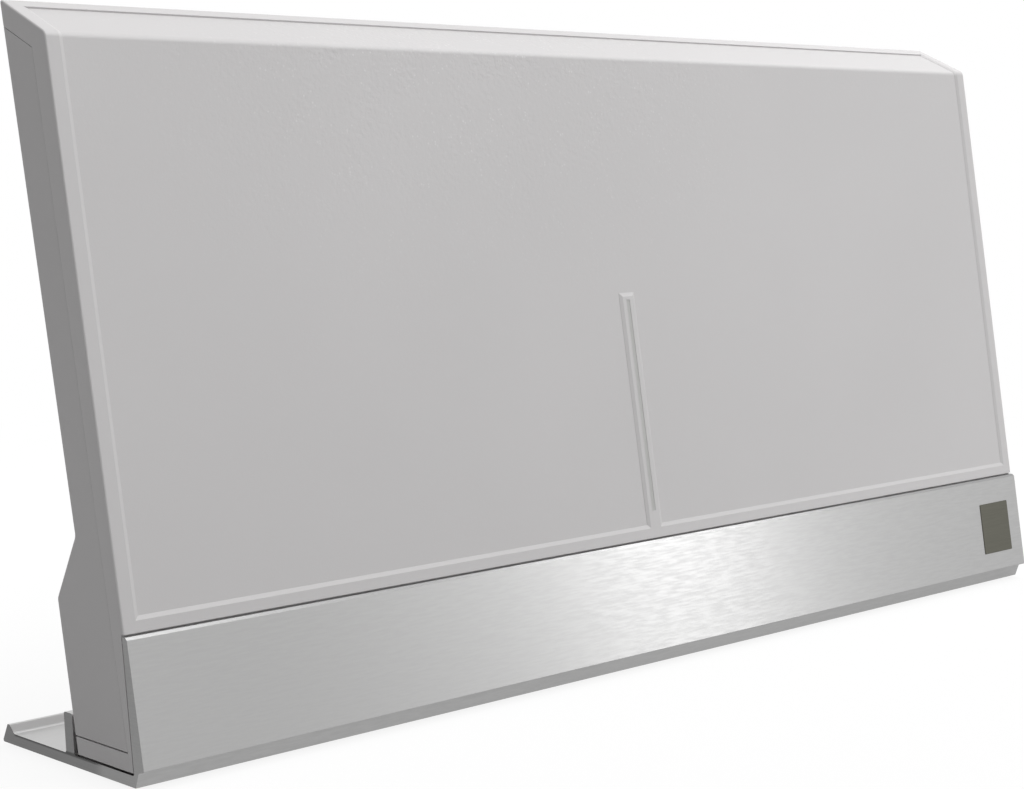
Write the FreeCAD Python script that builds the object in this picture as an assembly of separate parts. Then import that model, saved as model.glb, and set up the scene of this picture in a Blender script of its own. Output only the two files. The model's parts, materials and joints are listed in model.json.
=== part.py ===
import FreeCAD, Part
import math
import os

V = FreeCAD.Vector

# Frame: X along the width, -Y towards the viewer, Z up, with the origin under the middle of the stand.
# Lengths are in millimetres and angles in degrees.

# Overall
width = 300.0
stand_depth = 50.3
panel_tilt = 10.2

# Rubber foot pads
pad_thickness = 0.6
pad_side = 10.0
pad_end_inset = 14.0
pad_edge_inset = 8.0

# Aluminium stand, heights counted from its underside
base_thickness = 2.3
nose_height = 3.65
nose_return = 1.8
nose_drop = 0.5
toe_setback = 2.9
wall_lead = 0.95
wall_top_thickness = 1.5
wall_foot_thickness = 3.5
wall_chamfer_run = 0.5
wall_chamfer_drop = 0.5
rib_height = 8.3
rib_thickness = 2.9
rib_lean = 3.3
rib_clearance = 0.2
lip_rise = 1.65
lip_lean = 2.0
lip_thickness = 0.75
lip_run = 1.65
lip_fillet = 1.2
lip_round = 0.35
heel_round = 0.4
stand_fillet = 0.5
nose_round = 0.3

# Housing outline, depths counted level from the panel's plane and heights from the stand's underside
panel_lower_height = 29.3
panel_length = 114.2
wall_gap = 0.4
stand_clearance = 0.25
housing_lift = 0.5
top_slope = 23.3
top_run = 12.0
rear_border_slope = 24.0
slab_top_depth = 14.2
slab_foot_depth = 12.5
slab_foot_height = 46.3
bulge_depth = 21.8
bulge_shoulder_height = 33.2
seam_top_depth = 5.05
seam_foot_depth = 3.75
seam_gap = 0.04
top_groove = 0.12
bottom_groove = 0.3
top_flange = 4.35
bottom_flange_height = 6.3
bottom_flange_inset = 0.3
front_wall = 2.2
housing_wall = 2.0
rebate_wall = 1.0
end_edge_round = 0.4
front_edge_round = 1.8
rear_edge_round = 0.5
bulge_round = 1.6

# Panel field, border and tongue, measured up the panel from its lower edge
border_side = 4.0
border_lower = 3.2
border_bevel = 0.9
bevel_drop = 0.3
recess_depth = 0.35
tongue_width = 5.2
tongue_top = 58.2
slit_width = 1.2
slit_low = 6.4
slit_high = 56.5

# Light guide and lamp
guide_fit = 0.03
guide_sink = 0.06
guide_flange_width = 3.6
guide_flange_margin = 1.4
guide_tip_depth = 1.4
guide_foot_rise = 5.0
lamp_width = 2.8
lamp_length = 3.5
lamp_height = 1.6
lamp_gap = 0.2
lamp_rise = 2.0

# Antenna plates
plate_thickness = 0.4
plate_end_margin = 18.0
plate_inner_edge = 6.0
plate_low = 30.0
plate_top_margin = 14.2
plate_flare = 46.0
plate_neck_low = 52.0
plate_neck_high = 78.0
plate_round = 4.0
plate_slot_height = 10.0
plate_slot_margin = 12.0
plate_tail_width = 4.0
plate_tail_overlap = 6.0
plate_rib = 2.4
plate_rib_inset = 7.0
stake_radius = 0.9
stake_rise = 0.7
stake_clearance = 0.1

# Amplifier board, depths counted square to the panel from its plane
board_depth = 9.0
board_thickness = 1.6
board_width = 96.0
board_low = -18.6
board_high = 12.4
board_corner = 1.5
board_rib = 2.4
board_rib_inset = 4.2

# Parts on the board
shield_width = 30.0
shield_height = 19.0
shield_rise = 5.6
shield_sheet = 0.4
shield_fit = 0.05
shield_skirt = 2.4
shield_offset = -4.0
shield_low = -15.0
chip_width = 5.0
chip_height = 4.0
chip_rise = 1.5
regulator_width = 6.5
regulator_height = 3.5
regulator_rise = 1.7
regulator_end = 14.0
regulator_low = -15.6
capacitor_radius = 2.5
capacitor_rise = 5.4
capacitor_end = 16.0
capacitor_level = 4.0
core_width = 6.0
core_height = 4.0
core_rise = 3.4
core_bore = 0.8
core_low = -8.0

# Locating rims of the rear cover, inside the front cover's end walls
rim_thickness = 1.0
rim_clearance = 0.1
rim_reach = 1.5
rim_root = 3.0
rim_low = 4.0
rim_top_margin = 16.0

# Coax socket, a 3/8 inch threaded F type
coax_offset = 22.0
socket_level = -4.6
coax_radius = 4.7625
coax_reach = 12.0
coax_relief_width = 0.5
coax_relief_depth = 0.35
coax_bore = 3.1
coax_cup = 1.0
coax_base = 12.0
coax_hole_clearance = 0.15
coax_lead_in = 0.6
contact_radius = 1.1
contact_bore = 0.5
contact_sink = 0.8
washer_radius = 7.0
washer_thickness = 0.6
nut_across = 11.1
nut_thickness = 2.4
thread_clearance = 0.05

# Power jack for a 5.5 x 2.1 mm plug
jack_offset = -28.0
jack_width = 9.0
jack_height = 11.0
jack_nose = 4.3
jack_bore = 3.0
jack_floor = 1.6
jack_pin = 1.05
jack_pin_sink = 0.8
jack_hole_clearance = 0.2
jack_wall_gap = 0.15
spring_width = 1.6
spring_thickness = 0.4
spring_length = 6.5

# Screws
cover_boss_radius = 3.2
cover_boss_gap = 0.1
cover_screw_end = 8.5
cover_screw_low = 25.0
cover_screw_top_margin = 11.2
cover_screw_radius = 1.4
cover_head_radius = 2.6
cover_head_depth = 1.3
cover_screw_tip = 4.0
stand_screw_end = 50.0
stand_screw_radius = 1.5
stand_head_radius = 2.8
stand_head_depth = 1.4
stand_boss_radius = 3.4
stand_boss_gap = 0.3
screw_play = 0.06
hole_play = 0.3
seat_gap = 0.05
head_sink = 0.1

# Overcut of a cutting tool past the face it opens
overcut = 1.0

tilt = math.radians(panel_tilt)
stand_floor = pad_thickness
stand_front = -stand_depth / 2
stand_rear = stand_depth / 2
nose_z = stand_floor + nose_height
plate_top_z = stand_floor + base_thickness
panel_lower_z = stand_floor + panel_lower_height
panel_top_z = panel_lower_z + panel_length * math.cos(tilt)
wall_top_z = panel_lower_z - wall_gap
housing_floor_z = plate_top_z + housing_lift
flange_z = stand_floor + bottom_flange_height
bulge_back = bulge_depth * math.cos(tilt)
board_back = board_depth + board_thickness
lamp_face = board_depth - lamp_height
plate_high = panel_length - plate_top_margin


def wall_face_y(z):
    """Y of the stand's outer front face at height z."""
    return stand_front + (z - nose_z) * math.tan(tilt)


def panel_y(z):
    """Y of the panel's plane at height z."""
    return wall_face_y(z) + wall_lead


def wall_back_y(z):
    """Y of the stand front wall's rear face at height z, straight between its foot and its top."""
    foot = wall_face_y(plate_top_z) + wall_foot_thickness
    top = wall_face_y(wall_top_z) + wall_top_thickness
    return foot + (z - plate_top_z) * (top - foot) / (wall_top_z - plate_top_z)


def rebate_y(z):
    """Y of the housing's front where it stands behind the aluminium wall."""
    return wall_back_y(z) + stand_clearance


def direction(slope):
    """Unit step in the YZ plane at a slope in degrees above level."""
    return (math.cos(math.radians(slope)), math.sin(math.radians(slope)))


def crossing(p, p_step, q, q_step):
    """Where the line through p along p_step meets the line through q along q_step."""
    turn = p_step[0] * q_step[1] - p_step[1] * q_step[0]
    along = ((q[0] - p[0]) * q_step[1] - (q[1] - p[1]) * q_step[0]) / turn
    return (p[0] + along * p_step[0], p[1] + along * p_step[1])


def inset(corners, shifts):
    """Corners of a counter-clockwise outline whose edge from corner i has moved inwards by shifts[i]."""
    lines = []
    for start, end, shift in zip(corners, corners[1:] + corners[:1], shifts):
        length = math.hypot(end[0] - start[0], end[1] - start[1])
        step = ((end[0] - start[0]) / length, (end[1] - start[1]) / length)
        lines.append(((start[0] - step[1] * shift, start[1] + step[0] * shift), step))
    return [crossing(*lines[i - 1], *lines[i]) for i in range(len(lines))]


def rounded_face(corners, place, radii=None):
    """Face inside straight edges, with a tangent arc at each corner that has a radius.

    place turns a pair of flat coordinates into a point in space.
    """
    radii = radii or {}
    count = len(corners)
    bends = []
    for i in range(count):
        here = V(*corners[i], 0)
        back = (V(*corners[i - 1], 0) - here).normalize()
        onward = (V(*corners[(i + 1) % count], 0) - here).normalize()
        radius = radii.get(i, 0)
        half = back.getAngle(onward) / 2
        run = radius / math.tan(half)
        middle = here
        if radius:
            middle = here + (back + onward).normalize() * (radius / math.sin(half) - radius)
        bends.append([place(p.x, p.y) for p in (here + back * run, middle, here + onward * run)])
    edges = []
    for i in range(count):
        if radii.get(i):
            edges.append(Part.Arc(*bends[i]).toShape())
        edges.append(Part.LineSegment(bends[i][2], bends[(i + 1) % count][0]).toShape())
    return Part.Face(Part.Wire(edges))


def prism(corners, half_length, radii=None):
    """Profile in the YZ plane carried along X, the same length to both sides."""
    face = rounded_face(corners, lambda y, z: V(-half_length, y, z), radii)
    return face.extrude(V(2 * half_length, 0, 0))


def on_panel(shape):
    """Shape drawn with X along the panel, Y square into it and Z up it, leant back into its place."""
    shape = shape.copy()
    shape.rotate(V(0, 0, 0), V(1, 0, 0), -panel_tilt)
    shape.translate(V(0, panel_y(panel_lower_z), panel_lower_z))
    return shape


def block(x, depth, up):
    """Box between pairs of limits across, into and up the panel."""
    corner = V(x[0], depth[0], up[0])
    return Part.makeBox(x[1] - x[0], depth[1] - depth[0], up[1] - up[0], corner)


def rod(radius, depth, x, up):
    """Cylinder square to the panel between two depths."""
    return Part.makeCylinder(radius, depth[1] - depth[0], V(x, depth[0], up), V(0, 1, 0))


def turned(profile, base, axis=V(0, 1, 0)):
    """Profile of (radius, distance) points turned about an axis square to X, from a base point on it."""
    points = [base + V(radius, 0, 0) + axis * distance for radius, distance in profile]
    face = Part.Face(Part.makePolygon(points + points[:1]))
    return face.revolve(base, axis, 360)


def flat_head(tip, face, radius, head_radius, head_depth):
    """Profile of a countersunk screw from its tip to the face of its head."""
    return [(0, tip), (radius, tip), (radius, face - head_depth), (head_radius, face), (0, face)]


def countersink(start, face, radius, head_radius, head_depth):
    """Profile of the hole for such a screw, open past both faces of its wall."""
    slope = (head_radius - radius) / head_depth
    bore = radius + hole_play
    mouth = head_radius + seat_gap + slope * overcut
    end = face + overcut
    return [(0, start), (bore, start), (bore, end - (mouth - bore) / slope), (mouth, end), (0, end)]


def join(shapes):
    """One solid from pieces that share volume."""
    return shapes[0].multiFuse(shapes[1:]).removeSplitter()


def stand_profile():
    """Corners of the extrusion's section, counter-clockwise from the toe, and the radii at some of them."""
    toe = (stand_front + toe_setback, stand_floor)
    heel = (stand_rear, stand_floor)
    lip_outer = (stand_rear - lip_lean, plate_top_z + lip_rise)
    lip_inner = (lip_outer[0] - lip_thickness, plate_top_z + lip_rise)
    lip_foot = (lip_inner[0] - lip_run, plate_top_z)
    rib_top_z = plate_top_z + rib_height
    rib_front_top = (panel_y(rib_top_z) + bulge_depth + rib_clearance, rib_top_z)
    rib_front_foot = (rib_front_top[0] - rib_height * math.tan(math.radians(rib_lean)), plate_top_z)
    rib_rear_top = (rib_front_top[0] + rib_thickness, rib_top_z)
    rib_rear_foot = (rib_front_foot[0] + rib_thickness, plate_top_z)
    wall_foot = (wall_back_y(plate_top_z), plate_top_z)
    wall_top = (wall_back_y(wall_top_z), wall_top_z)
    chamfer_z = wall_top_z - wall_chamfer_drop
    chamfer_top = (wall_face_y(wall_top_z) + wall_chamfer_run, wall_top_z)
    chamfer_foot = (wall_face_y(chamfer_z), chamfer_z)
    nose = (stand_front, nose_z)
    nose_back = (stand_front + nose_return, nose_z - nose_drop)
    corners = [toe, heel, lip_outer, lip_inner, lip_foot, rib_rear_foot, rib_rear_top, rib_front_top,
               rib_front_foot, wall_foot, wall_top, chamfer_top, chamfer_foot, nose, nose_back]
    radii = {1: heel_round, 2: lip_round, 3: lip_round, 4: lip_fillet, 5: stand_fillet, 6: stand_fillet,
             7: stand_fillet, 8: stand_fillet, 9: stand_fillet, 13: nose_round}
    return corners, radii


def stand_screw_places():
    """Centres of the screws that hold the housing down, along the middle of its bottom."""
    middle = (rebate_y(housing_floor_z) + panel_y(housing_floor_z) + bulge_depth) / 2
    end = width / 2 - stand_screw_end
    return [(-end, middle), (end, middle)]


def stand_extrusion():
    """Aluminium section cut to length, with countersunk holes through its base plate."""
    corners, radii = stand_profile()
    body = prism(corners, width / 2, radii)
    hole = countersink(-plate_top_z - overcut, -stand_floor - head_sink, stand_screw_radius, stand_head_radius,
                       stand_head_depth)
    for x, y in stand_screw_places():
        body = body.cut(turned(hole, V(x, y, 0), V(0, 0, -1)))
    return body


def foot_pads():
    """Four square-cut, self-adhesive pads under the corners of the stand, by name."""
    ends = {"left": -width / 2 + pad_end_inset, "right": width / 2 - pad_end_inset}
    sides = {"front": stand_front + toe_setback + pad_edge_inset, "rear": stand_rear - pad_edge_inset}
    half = pad_side / 2
    return {f"foot_pad_{end}_{side}": Part.makeBox(pad_side, pad_side, pad_thickness, V(x - half, y - half, 0))
            for end, x in ends.items() for side, y in sides.items()}


def rear_line():
    """A point on the slab's rear face and the face's direction in the YZ plane."""
    foot_z = stand_floor + slab_foot_height
    foot = (panel_y(foot_z) + slab_foot_depth, foot_z)
    top = (panel_y(panel_top_z) + slab_top_depth, panel_top_z)
    return foot, (top[0] - foot[0], top[1] - foot[1])


def flange_line(drop):
    """A line parallel to the sloping top, a given distance under it."""
    step = direction(top_slope)
    return (panel_y(panel_top_z) + drop * step[1], panel_top_z - drop * step[0]), step


def panel_point(up, depth):
    """A point up the panel from its lower edge, at a depth square to it, as Y and Z."""
    return (panel_y(panel_lower_z) + up * math.sin(tilt) + depth * math.cos(tilt),
            panel_lower_z + up * math.cos(tilt) - depth * math.sin(tilt))


def front_edge(depth):
    """Where the panel meets the sloping top, with both moved inwards by a depth."""
    return crossing(panel_point(0, depth), (math.sin(tilt), math.cos(tilt)), *flange_line(depth))


def break_edge(depth):
    """Where the sloping top turns up to its rear border, moved square into the top by a depth."""
    across, rise = direction(top_slope)
    start = front_edge(0)
    along = top_run / across
    return (start[0] + along * across + depth * rise, start[1] + along * rise - depth * across)


def seam_line(gap):
    """The upright seam between the covers, moved back by a gap, as its foot and its direction."""
    foot = (panel_y(flange_z) + seam_foot_depth + gap, flange_z)
    top = (panel_y(panel_top_z) + seam_top_depth + gap, panel_top_z)
    return foot, (top[0] - foot[0], top[1] - foot[1])


def top_corners():
    """Rear edge, break and front edge of the sloping top."""
    rear = crossing(break_edge(0), direction(rear_border_slope), *rear_line())
    return rear, break_edge(0), front_edge(0)


def shoulder_corners():
    """The bulge's shoulder and the slab's foot, lower corner first."""
    shoulder_z = stand_floor + bulge_shoulder_height
    return (panel_y(shoulder_z) + bulge_depth, shoulder_z), rear_line()[0]


def front_outline():
    """The front cover's side outline, a tall C open to the rear, counter-clockwise from its lower front."""
    return [(rebate_y(housing_floor_z), housing_floor_z),
            (panel_y(housing_floor_z) + bulge_depth, housing_floor_z),
            (panel_y(flange_z) + bulge_depth, flange_z),
            seam_line(0)[0],
            crossing(*flange_line(top_flange), *seam_line(0)),
            crossing(*flange_line(top_flange), *rear_line()),
            *top_corners(),
            panel_point(0, 0),
            (rebate_y(panel_lower_z), panel_lower_z)]


def rear_outline():
    """The rear cover's side outline, counter-clockwise from its lower front."""
    low_z = flange_z + bottom_groove
    groove = flange_line(top_flange + top_groove)
    return [crossing((0, low_z), direction(0), *seam_line(seam_gap)),
            (panel_y(low_z) + bulge_depth, low_z),
            *shoulder_corners(),
            crossing(*groove, *rear_line()),
            crossing(*groove, *seam_line(seam_gap))]


def housing_outline():
    """The whole housing's side outline, counter-clockwise from its lower front."""
    return [(rebate_y(housing_floor_z), housing_floor_z),
            (panel_y(housing_floor_z) + bulge_depth, housing_floor_z),
            *shoulder_corners(),
            *top_corners(),
            panel_point(0, 0),
            (rebate_y(panel_lower_z), panel_lower_z)]


def housing_block():
    """The closed outer form that the two covers are parted from, with its show edges rounded."""
    radii = {2: bulge_round, 3: bulge_round, 4: rear_edge_round, 6: front_edge_round}
    body = prism(housing_outline(), width / 2, radii)

    def shows(edge):
        """True for an end edge of the panel, the top or the back."""
        centre = edge.CenterOfMass
        behind = centre.y - panel_y(centre.z)
        at_end = edge.BoundBox.XLength < end_edge_round
        return at_end and (centre.z > panel_lower_z + wall_gap or behind > slab_foot_depth)

    return body.makeFillet(end_edge_round, [edge for edge in body.Edges if shows(edge)])


def depth_to(line, up):
    """Depth of a line of the side outline, square to the panel, at a place up the panel."""
    foot = panel_point(up, 0)
    back = crossing(foot, (math.cos(tilt), -math.sin(tilt)), *line)
    return math.dist(foot, back)


def slab_back(up):
    """Depth of the slab's rear face at a place up the panel."""
    return depth_to(rear_line(), up)


def field_face(depth, x):
    """Section of the field's cutter at a place along X, from outside the housing to a depth under its skin."""
    corners = [panel_point(border_lower, depth), front_edge(depth), break_edge(depth),
               break_edge(-overcut), front_edge(-overcut), panel_point(border_lower, -overcut)]
    return rounded_face(corners, lambda y, z: V(x, y, z), {1: front_edge_round - depth})


def front_bevel():
    """Cutter that slopes the field's edge along the lower border, up the sides and round the tongue."""

    def outline(share):
        """The slope's edge at a share of its drop under the panel."""
        depth = bevel_drop * share
        spread = border_bevel * (1 - share)
        side = width / 2 - border_side + spread
        low = border_lower - spread
        tongue = tongue_width / 2 - spread
        crest = tongue_top - spread
        top = tongue_top + border_lower
        corners = [(-side, top), (-side, low), (-tongue, low), (-tongue, crest), (tongue, crest), (tongue, low),
                   (side, low), (side, top)]
        return Part.makePolygon([V(x, depth, up) for x, up in corners + corners[:1]])

    return on_panel(Part.makeLoft([outline(1), outline(-1)], True, True))


def end_bevel():
    """Cutter that slopes the field's right-hand edge, up the panel and over to the rear border."""
    side = width / 2 - border_side
    return Part.makeLoft([field_face(bevel_drop, side).OuterWire,
                          field_face(-bevel_drop, side + 2 * border_bevel).OuterWire], True, True)


def field_tool():
    """Cutter for the recessed field, from the lower border over the front edge to the rear border.

    It leaves the tongue standing, and its edge slopes out through the border.
    """
    side = width / 2 - border_side
    floor = field_face(recess_depth, -side).extrude(V(2 * side, 0, 0))
    tongue = block((-tongue_width / 2, tongue_width / 2), (-2 * overcut, front_wall), (0, tongue_top))
    bevel = end_bevel()
    return join([floor.cut(on_panel(tongue)), front_bevel(), bevel, bevel.mirror(V(0, 0, 0), V(1, 0, 0))])


def cover_screw_places():
    """Centres of the screws through the rear cover, across and up the panel."""
    end = width / 2 - cover_screw_end
    return [(x, up) for x in (-end, end) for up in (cover_screw_low, panel_length - cover_screw_top_margin)]


def plate_outer():
    """How far the antenna plates reach from the middle."""
    return width / 2 - plate_end_margin


def stake_places():
    """Centres of the right-hand plate's stakes: low on its inner rib, high on its outer rib."""
    return [(plate_flare + plate_rib_inset, plate_low + plate_rib_inset),
            (plate_outer() - plate_rib_inset, plate_high - plate_rib_inset)]


def front_cover():
    """Front moulding: skin, field, slit, and the posts and bosses that carry the inner pieces."""
    outline = front_outline()
    zone = inset(outline, [-overcut, bottom_flange_inset, 0, 0, 0, -overcut, -overcut, -overcut, -overcut,
                           -overcut, -overcut])
    hollow = inset(outline, [housing_wall, bottom_flange_inset + housing_wall, -overcut, -overcut, -overcut,
                             housing_wall, housing_wall, housing_wall, front_wall, housing_wall, rebate_wall])
    shell = housing_block().common(prism(zone, width / 2 + overcut))
    shell = shell.cut(prism(hollow, width / 2 - housing_wall))
    shell = shell.cut(field_tool())

    posts = []
    half_rib = plate_rib / 2
    for x, up in stake_places():
        for middle in (-x, x):
            posts.append(block((middle - half_rib, middle + half_rib), (0, board_depth - plate_thickness),
                               (plate_low, plate_high)))
            posts.append(rod(stake_radius, (0, board_depth + stake_rise), middle, up))
    posts += [rod(cover_boss_radius, (0, slab_back(up) - housing_wall - cover_boss_gap), x, up)
              for x, up in cover_screw_places()]
    board_end = board_width / 2 - board_rib_inset
    posts += [block((x - board_rib / 2, x + board_rib / 2), (0, board_depth), (board_low, board_high))
              for x in (-board_end, board_end)]
    outer = housing_outline()
    inside = inset(outer, [housing_wall / 2] * (len(outer) - 1) + [rebate_wall / 2])
    trim = prism(inside, width / 2 - housing_wall / 2)
    posts = [on_panel(post).common(trim) for post in posts]
    boss_top = flange_z + bottom_groove - stand_boss_gap
    posts += [Part.makeCylinder(stand_boss_radius, boss_top - plate_top_z, V(x, y, plate_top_z))
              for x, y in stand_screw_places()]
    shell = join([shell] + posts)

    slit = block((-slit_width / 2, slit_width / 2), (-overcut, front_wall + overcut), (slit_low, slit_high))
    cuts = [on_panel(slit)]
    pilot = cover_screw_radius + screw_play
    cuts += [on_panel(rod(pilot, (cover_screw_tip - screw_play, slab_back(up)), x, up))
             for x, up in cover_screw_places()]
    cuts += [Part.makeCylinder(stand_screw_radius + screw_play, boss_top - plate_top_z - housing_wall / 2,
                               V(x, y, plate_top_z)) for x, y in stand_screw_places()]
    for cut in cuts:
        shell = shell.cut(cut)
    return shell


def locating_rims():
    """Ribs inside the rear cover's ends that reach past the seam into the front cover."""
    low, high = rim_low, panel_length - rim_top_margin
    wall = width / 2 - housing_wall
    outer = wall - rim_clearance
    inner = outer - rim_thickness

    def strip(end, start, stop):
        """Slab along the seam out to a place along X, between two depths counted from the seam."""
        places = [(low, start), (low, stop), (high, stop), (high, start)]
        corners = [(depth_to(seam_line(0), up) + depth, up) for up, depth in places]
        face = rounded_face(corners, lambda depth, up: V(inner, depth, up))
        return face.extrude(V(end - inner, 0, 0))

    rim = join([strip(outer, -rim_reach, rim_root), strip(wall + housing_wall / 2, seam_gap, rim_root)])
    return [rim, rim.mirror(V(0, 0, 0), V(1, 0, 0))]


def rear_cover():
    """Rear moulding: back, bulge and side parts, with countersunk screw holes and the two socket holes."""
    outline = rear_outline()
    zone = inset(outline, [0, -overcut, -overcut, -overcut, 0, 0])
    hollow = inset(outline, [housing_wall, housing_wall, housing_wall, housing_wall, housing_wall, -overcut])
    shell = housing_block().common(prism(zone, width / 2 + overcut))
    shell = shell.cut(prism(hollow, width / 2 - housing_wall))

    shell = join([shell] + [on_panel(rim) for rim in locating_rims()])

    cuts = []
    for x, up in cover_screw_places():
        back = slab_back(up)
        cuts.append(turned(countersink(back - housing_wall - overcut, back - head_sink, cover_screw_radius,
                                       cover_head_radius, cover_head_depth), V(x, 0, up)))
    through = (board_back, bulge_back + overcut)
    cuts.append(rod(coax_radius + coax_hole_clearance, through, coax_offset, socket_level))
    cuts.append(rod(jack_nose + jack_hole_clearance, through, jack_offset, socket_level))
    for cut in cuts:
        shell = shell.cut(on_panel(cut))
    return shell


def light_guide():
    """Clear bar: a blade in the slit and a wedge behind it that thickens towards the lamp."""
    blade_half = slit_width / 2 - guide_fit
    blade = block((-blade_half, blade_half), (guide_sink, front_wall),
                  (slit_low + guide_fit, slit_high - guide_fit))
    low = slit_low - guide_flange_margin
    high = slit_high + guide_flange_margin
    heel = lamp_face - lamp_gap
    foot_top = low + guide_foot_rise
    side = [(front_wall, low), (heel, low), (heel, foot_top), (front_wall + guide_tip_depth, high),
            (front_wall, high)]
    half = guide_flange_width / 2
    wedge = rounded_face(side, lambda depth, up: V(-half, depth, up)).extrude(V(guide_flange_width, 0, 0))
    return join([blade, wedge])


def status_lamp():
    """Surface-mount lamp on the board, facing the guide's heel."""
    low = slit_low - guide_flange_margin + lamp_rise - lamp_length / 2
    return block((-lamp_width / 2, lamp_width / 2), (lamp_face, board_depth), (low, low + lamp_length))


def antenna_plate(side):
    """One half of the dipole: a flared sheet with a slot, a feed tail and holes for its posts."""
    outer = plate_outer()
    tail_low = board_high - plate_tail_overlap
    tail_edge = plate_inner_edge + plate_tail_width
    corners = [(plate_inner_edge, tail_low), (tail_edge, tail_low), (tail_edge, plate_neck_low),
               (plate_flare, plate_low), (outer, plate_low), (outer, plate_high), (plate_flare, plate_high),
               (plate_inner_edge, plate_neck_high)]
    radii = {3: plate_round, 4: plate_round, 5: plate_round, 6: plate_round}
    front = board_depth - plate_thickness
    depth = V(0, plate_thickness, 0)

    def sheet(points, bends):
        """Flat blank in the plate's plane."""
        return rounded_face(points, lambda x, up: V(x, front, up), bends).extrude(depth)

    plate = sheet(corners, radii)
    slot_low = (plate_low + plate_high - plate_slot_height) / 2
    slot_high = slot_low + plate_slot_height
    near = plate_flare
    far = outer - plate_slot_margin
    plate = plate.cut(sheet([(near, slot_low), (far, slot_low), (far, slot_high), (near, slot_high)], {}))
    for x, up in stake_places():
        plate = plate.cut(rod(stake_radius + stake_clearance, (front - overcut, board_depth + overcut), x, up))
    return plate if side > 0 else plate.mirror(V(0, 0, 0), V(1, 0, 0))


def amplifier_board():
    """Board with rounded corners, held between the front cover's ribs and the sockets' shoulders."""
    half = board_width / 2
    corners = [(-half, board_low), (half, board_low), (half, board_high), (-half, board_high)]
    face = rounded_face(corners, lambda x, up: V(x, board_depth, up), {i: board_corner for i in range(4)})
    return face.extrude(V(0, board_thickness, 0))


def shield_frame():
    """Folded sheet walls round the amplifier stage."""
    x = (shield_offset - shield_width / 2, shield_offset + shield_width / 2)
    up = (shield_low, shield_low + shield_height)
    depth = (board_back, board_back + shield_rise)
    inner_x = (x[0] + shield_sheet, x[1] - shield_sheet)
    inner_up = (up[0] + shield_sheet, up[1] - shield_sheet)
    return block(x, depth, up).cut(block(inner_x, (depth[0] - overcut, depth[1] + overcut), inner_up))


def shield_lid():
    """Sheet lid whose skirt grips the outside of the frame."""
    grip = shield_fit + shield_sheet
    x = (shield_offset - shield_width / 2 - grip, shield_offset + shield_width / 2 + grip)
    up = (shield_low - grip, shield_low + shield_height + grip)
    top = board_back + shield_rise
    inner_x = (x[0] + shield_sheet, x[1] - shield_sheet)
    inner_up = (up[0] + shield_sheet, up[1] - shield_sheet)
    skirt = top - shield_skirt
    return block(x, (skirt, top + shield_sheet), up).cut(block(inner_x, (skirt - overcut, top), inner_up))


def amplifier_chip():
    """Amplifier stage under the shield."""
    low = shield_low + (shield_height - chip_height) / 2
    x = (shield_offset - chip_width / 2, shield_offset + chip_width / 2)
    return block(x, (board_back, board_back + chip_rise), (low, low + chip_height))


def regulator_chip():
    """Supply regulator beside the coax socket."""
    middle = board_width / 2 - regulator_end
    x = (middle - regulator_width / 2, middle + regulator_width / 2)
    up = (regulator_low, regulator_low + regulator_height)
    return block(x, (board_back, board_back + regulator_rise), up)


def filter_capacitor():
    """Electrolytic can standing on the board."""
    depth = (board_back, board_back + capacitor_rise)
    return rod(capacitor_radius, depth, board_width / 2 - capacitor_end, capacitor_level)


def balun_core():
    """Two-hole ferrite core on the front of the board, between the feed tails."""
    up = (core_low, core_low + core_height)
    core = block((-core_width / 2, core_width / 2), (board_depth - core_rise, board_depth), up)
    middle = board_depth - core_rise / 2
    for side in (-1, 1):
        start = V(side * core_width / 4, middle, up[0] - overcut)
        core = core.cut(Part.makeCylinder(core_bore, core_height + 2 * overcut, start))
    return core


def coax_barrel():
    """Square base on the board, shoulder against the cover and threaded barrel through it."""
    wall = bulge_back - housing_wall
    tip = bulge_back + coax_reach
    half = coax_base / 2
    base = block((coax_offset - half, coax_offset + half), (board_back, wall),
                 (socket_level - half, socket_level + half))
    rim = coax_radius - coax_lead_in
    barrel = turned([(0, board_back), (coax_radius, board_back), (coax_radius, tip - coax_lead_in), (rim, tip),
                     (0, tip)], V(coax_offset, 0, socket_level))
    body = join([base, barrel])
    relief = bulge_back + washer_thickness + nut_thickness
    ring = rod(coax_radius + overcut, (relief, relief + coax_relief_width), coax_offset, socket_level)
    core = rod(coax_radius - coax_relief_depth, (relief, relief + coax_relief_width), coax_offset, socket_level)
    body = body.cut(ring.cut(core))
    return body.cut(rod(coax_bore, (board_back - overcut, tip + overcut), coax_offset, socket_level))


def coax_insulator():
    """Plug of plastic that fills the barrel, with a shallow cup at its mouth round the entry hole."""
    tip = bulge_back + coax_reach
    mouth = tip - contact_sink
    profile = [(contact_radius, board_back), (coax_bore, board_back), (coax_bore, tip - coax_lead_in),
               (contact_radius + coax_cup, mouth), (contact_radius, mouth)]
    return turned(profile, V(coax_offset, 0, socket_level))


def coax_contact():
    """Sprung tube that takes the cable's centre wire."""
    mouth = bulge_back + coax_reach - contact_sink
    return turned([(contact_bore, board_back), (contact_radius, board_back), (contact_radius, mouth),
                   (contact_bore, mouth)], V(coax_offset, 0, socket_level))


def coax_washer():
    """Plain washer between the cover and the nut."""
    inner = coax_radius + thread_clearance
    top = bulge_back + washer_thickness
    return turned([(inner, bulge_back), (washer_radius, bulge_back), (washer_radius, top), (inner, top)],
                  V(coax_offset, 0, socket_level))


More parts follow.
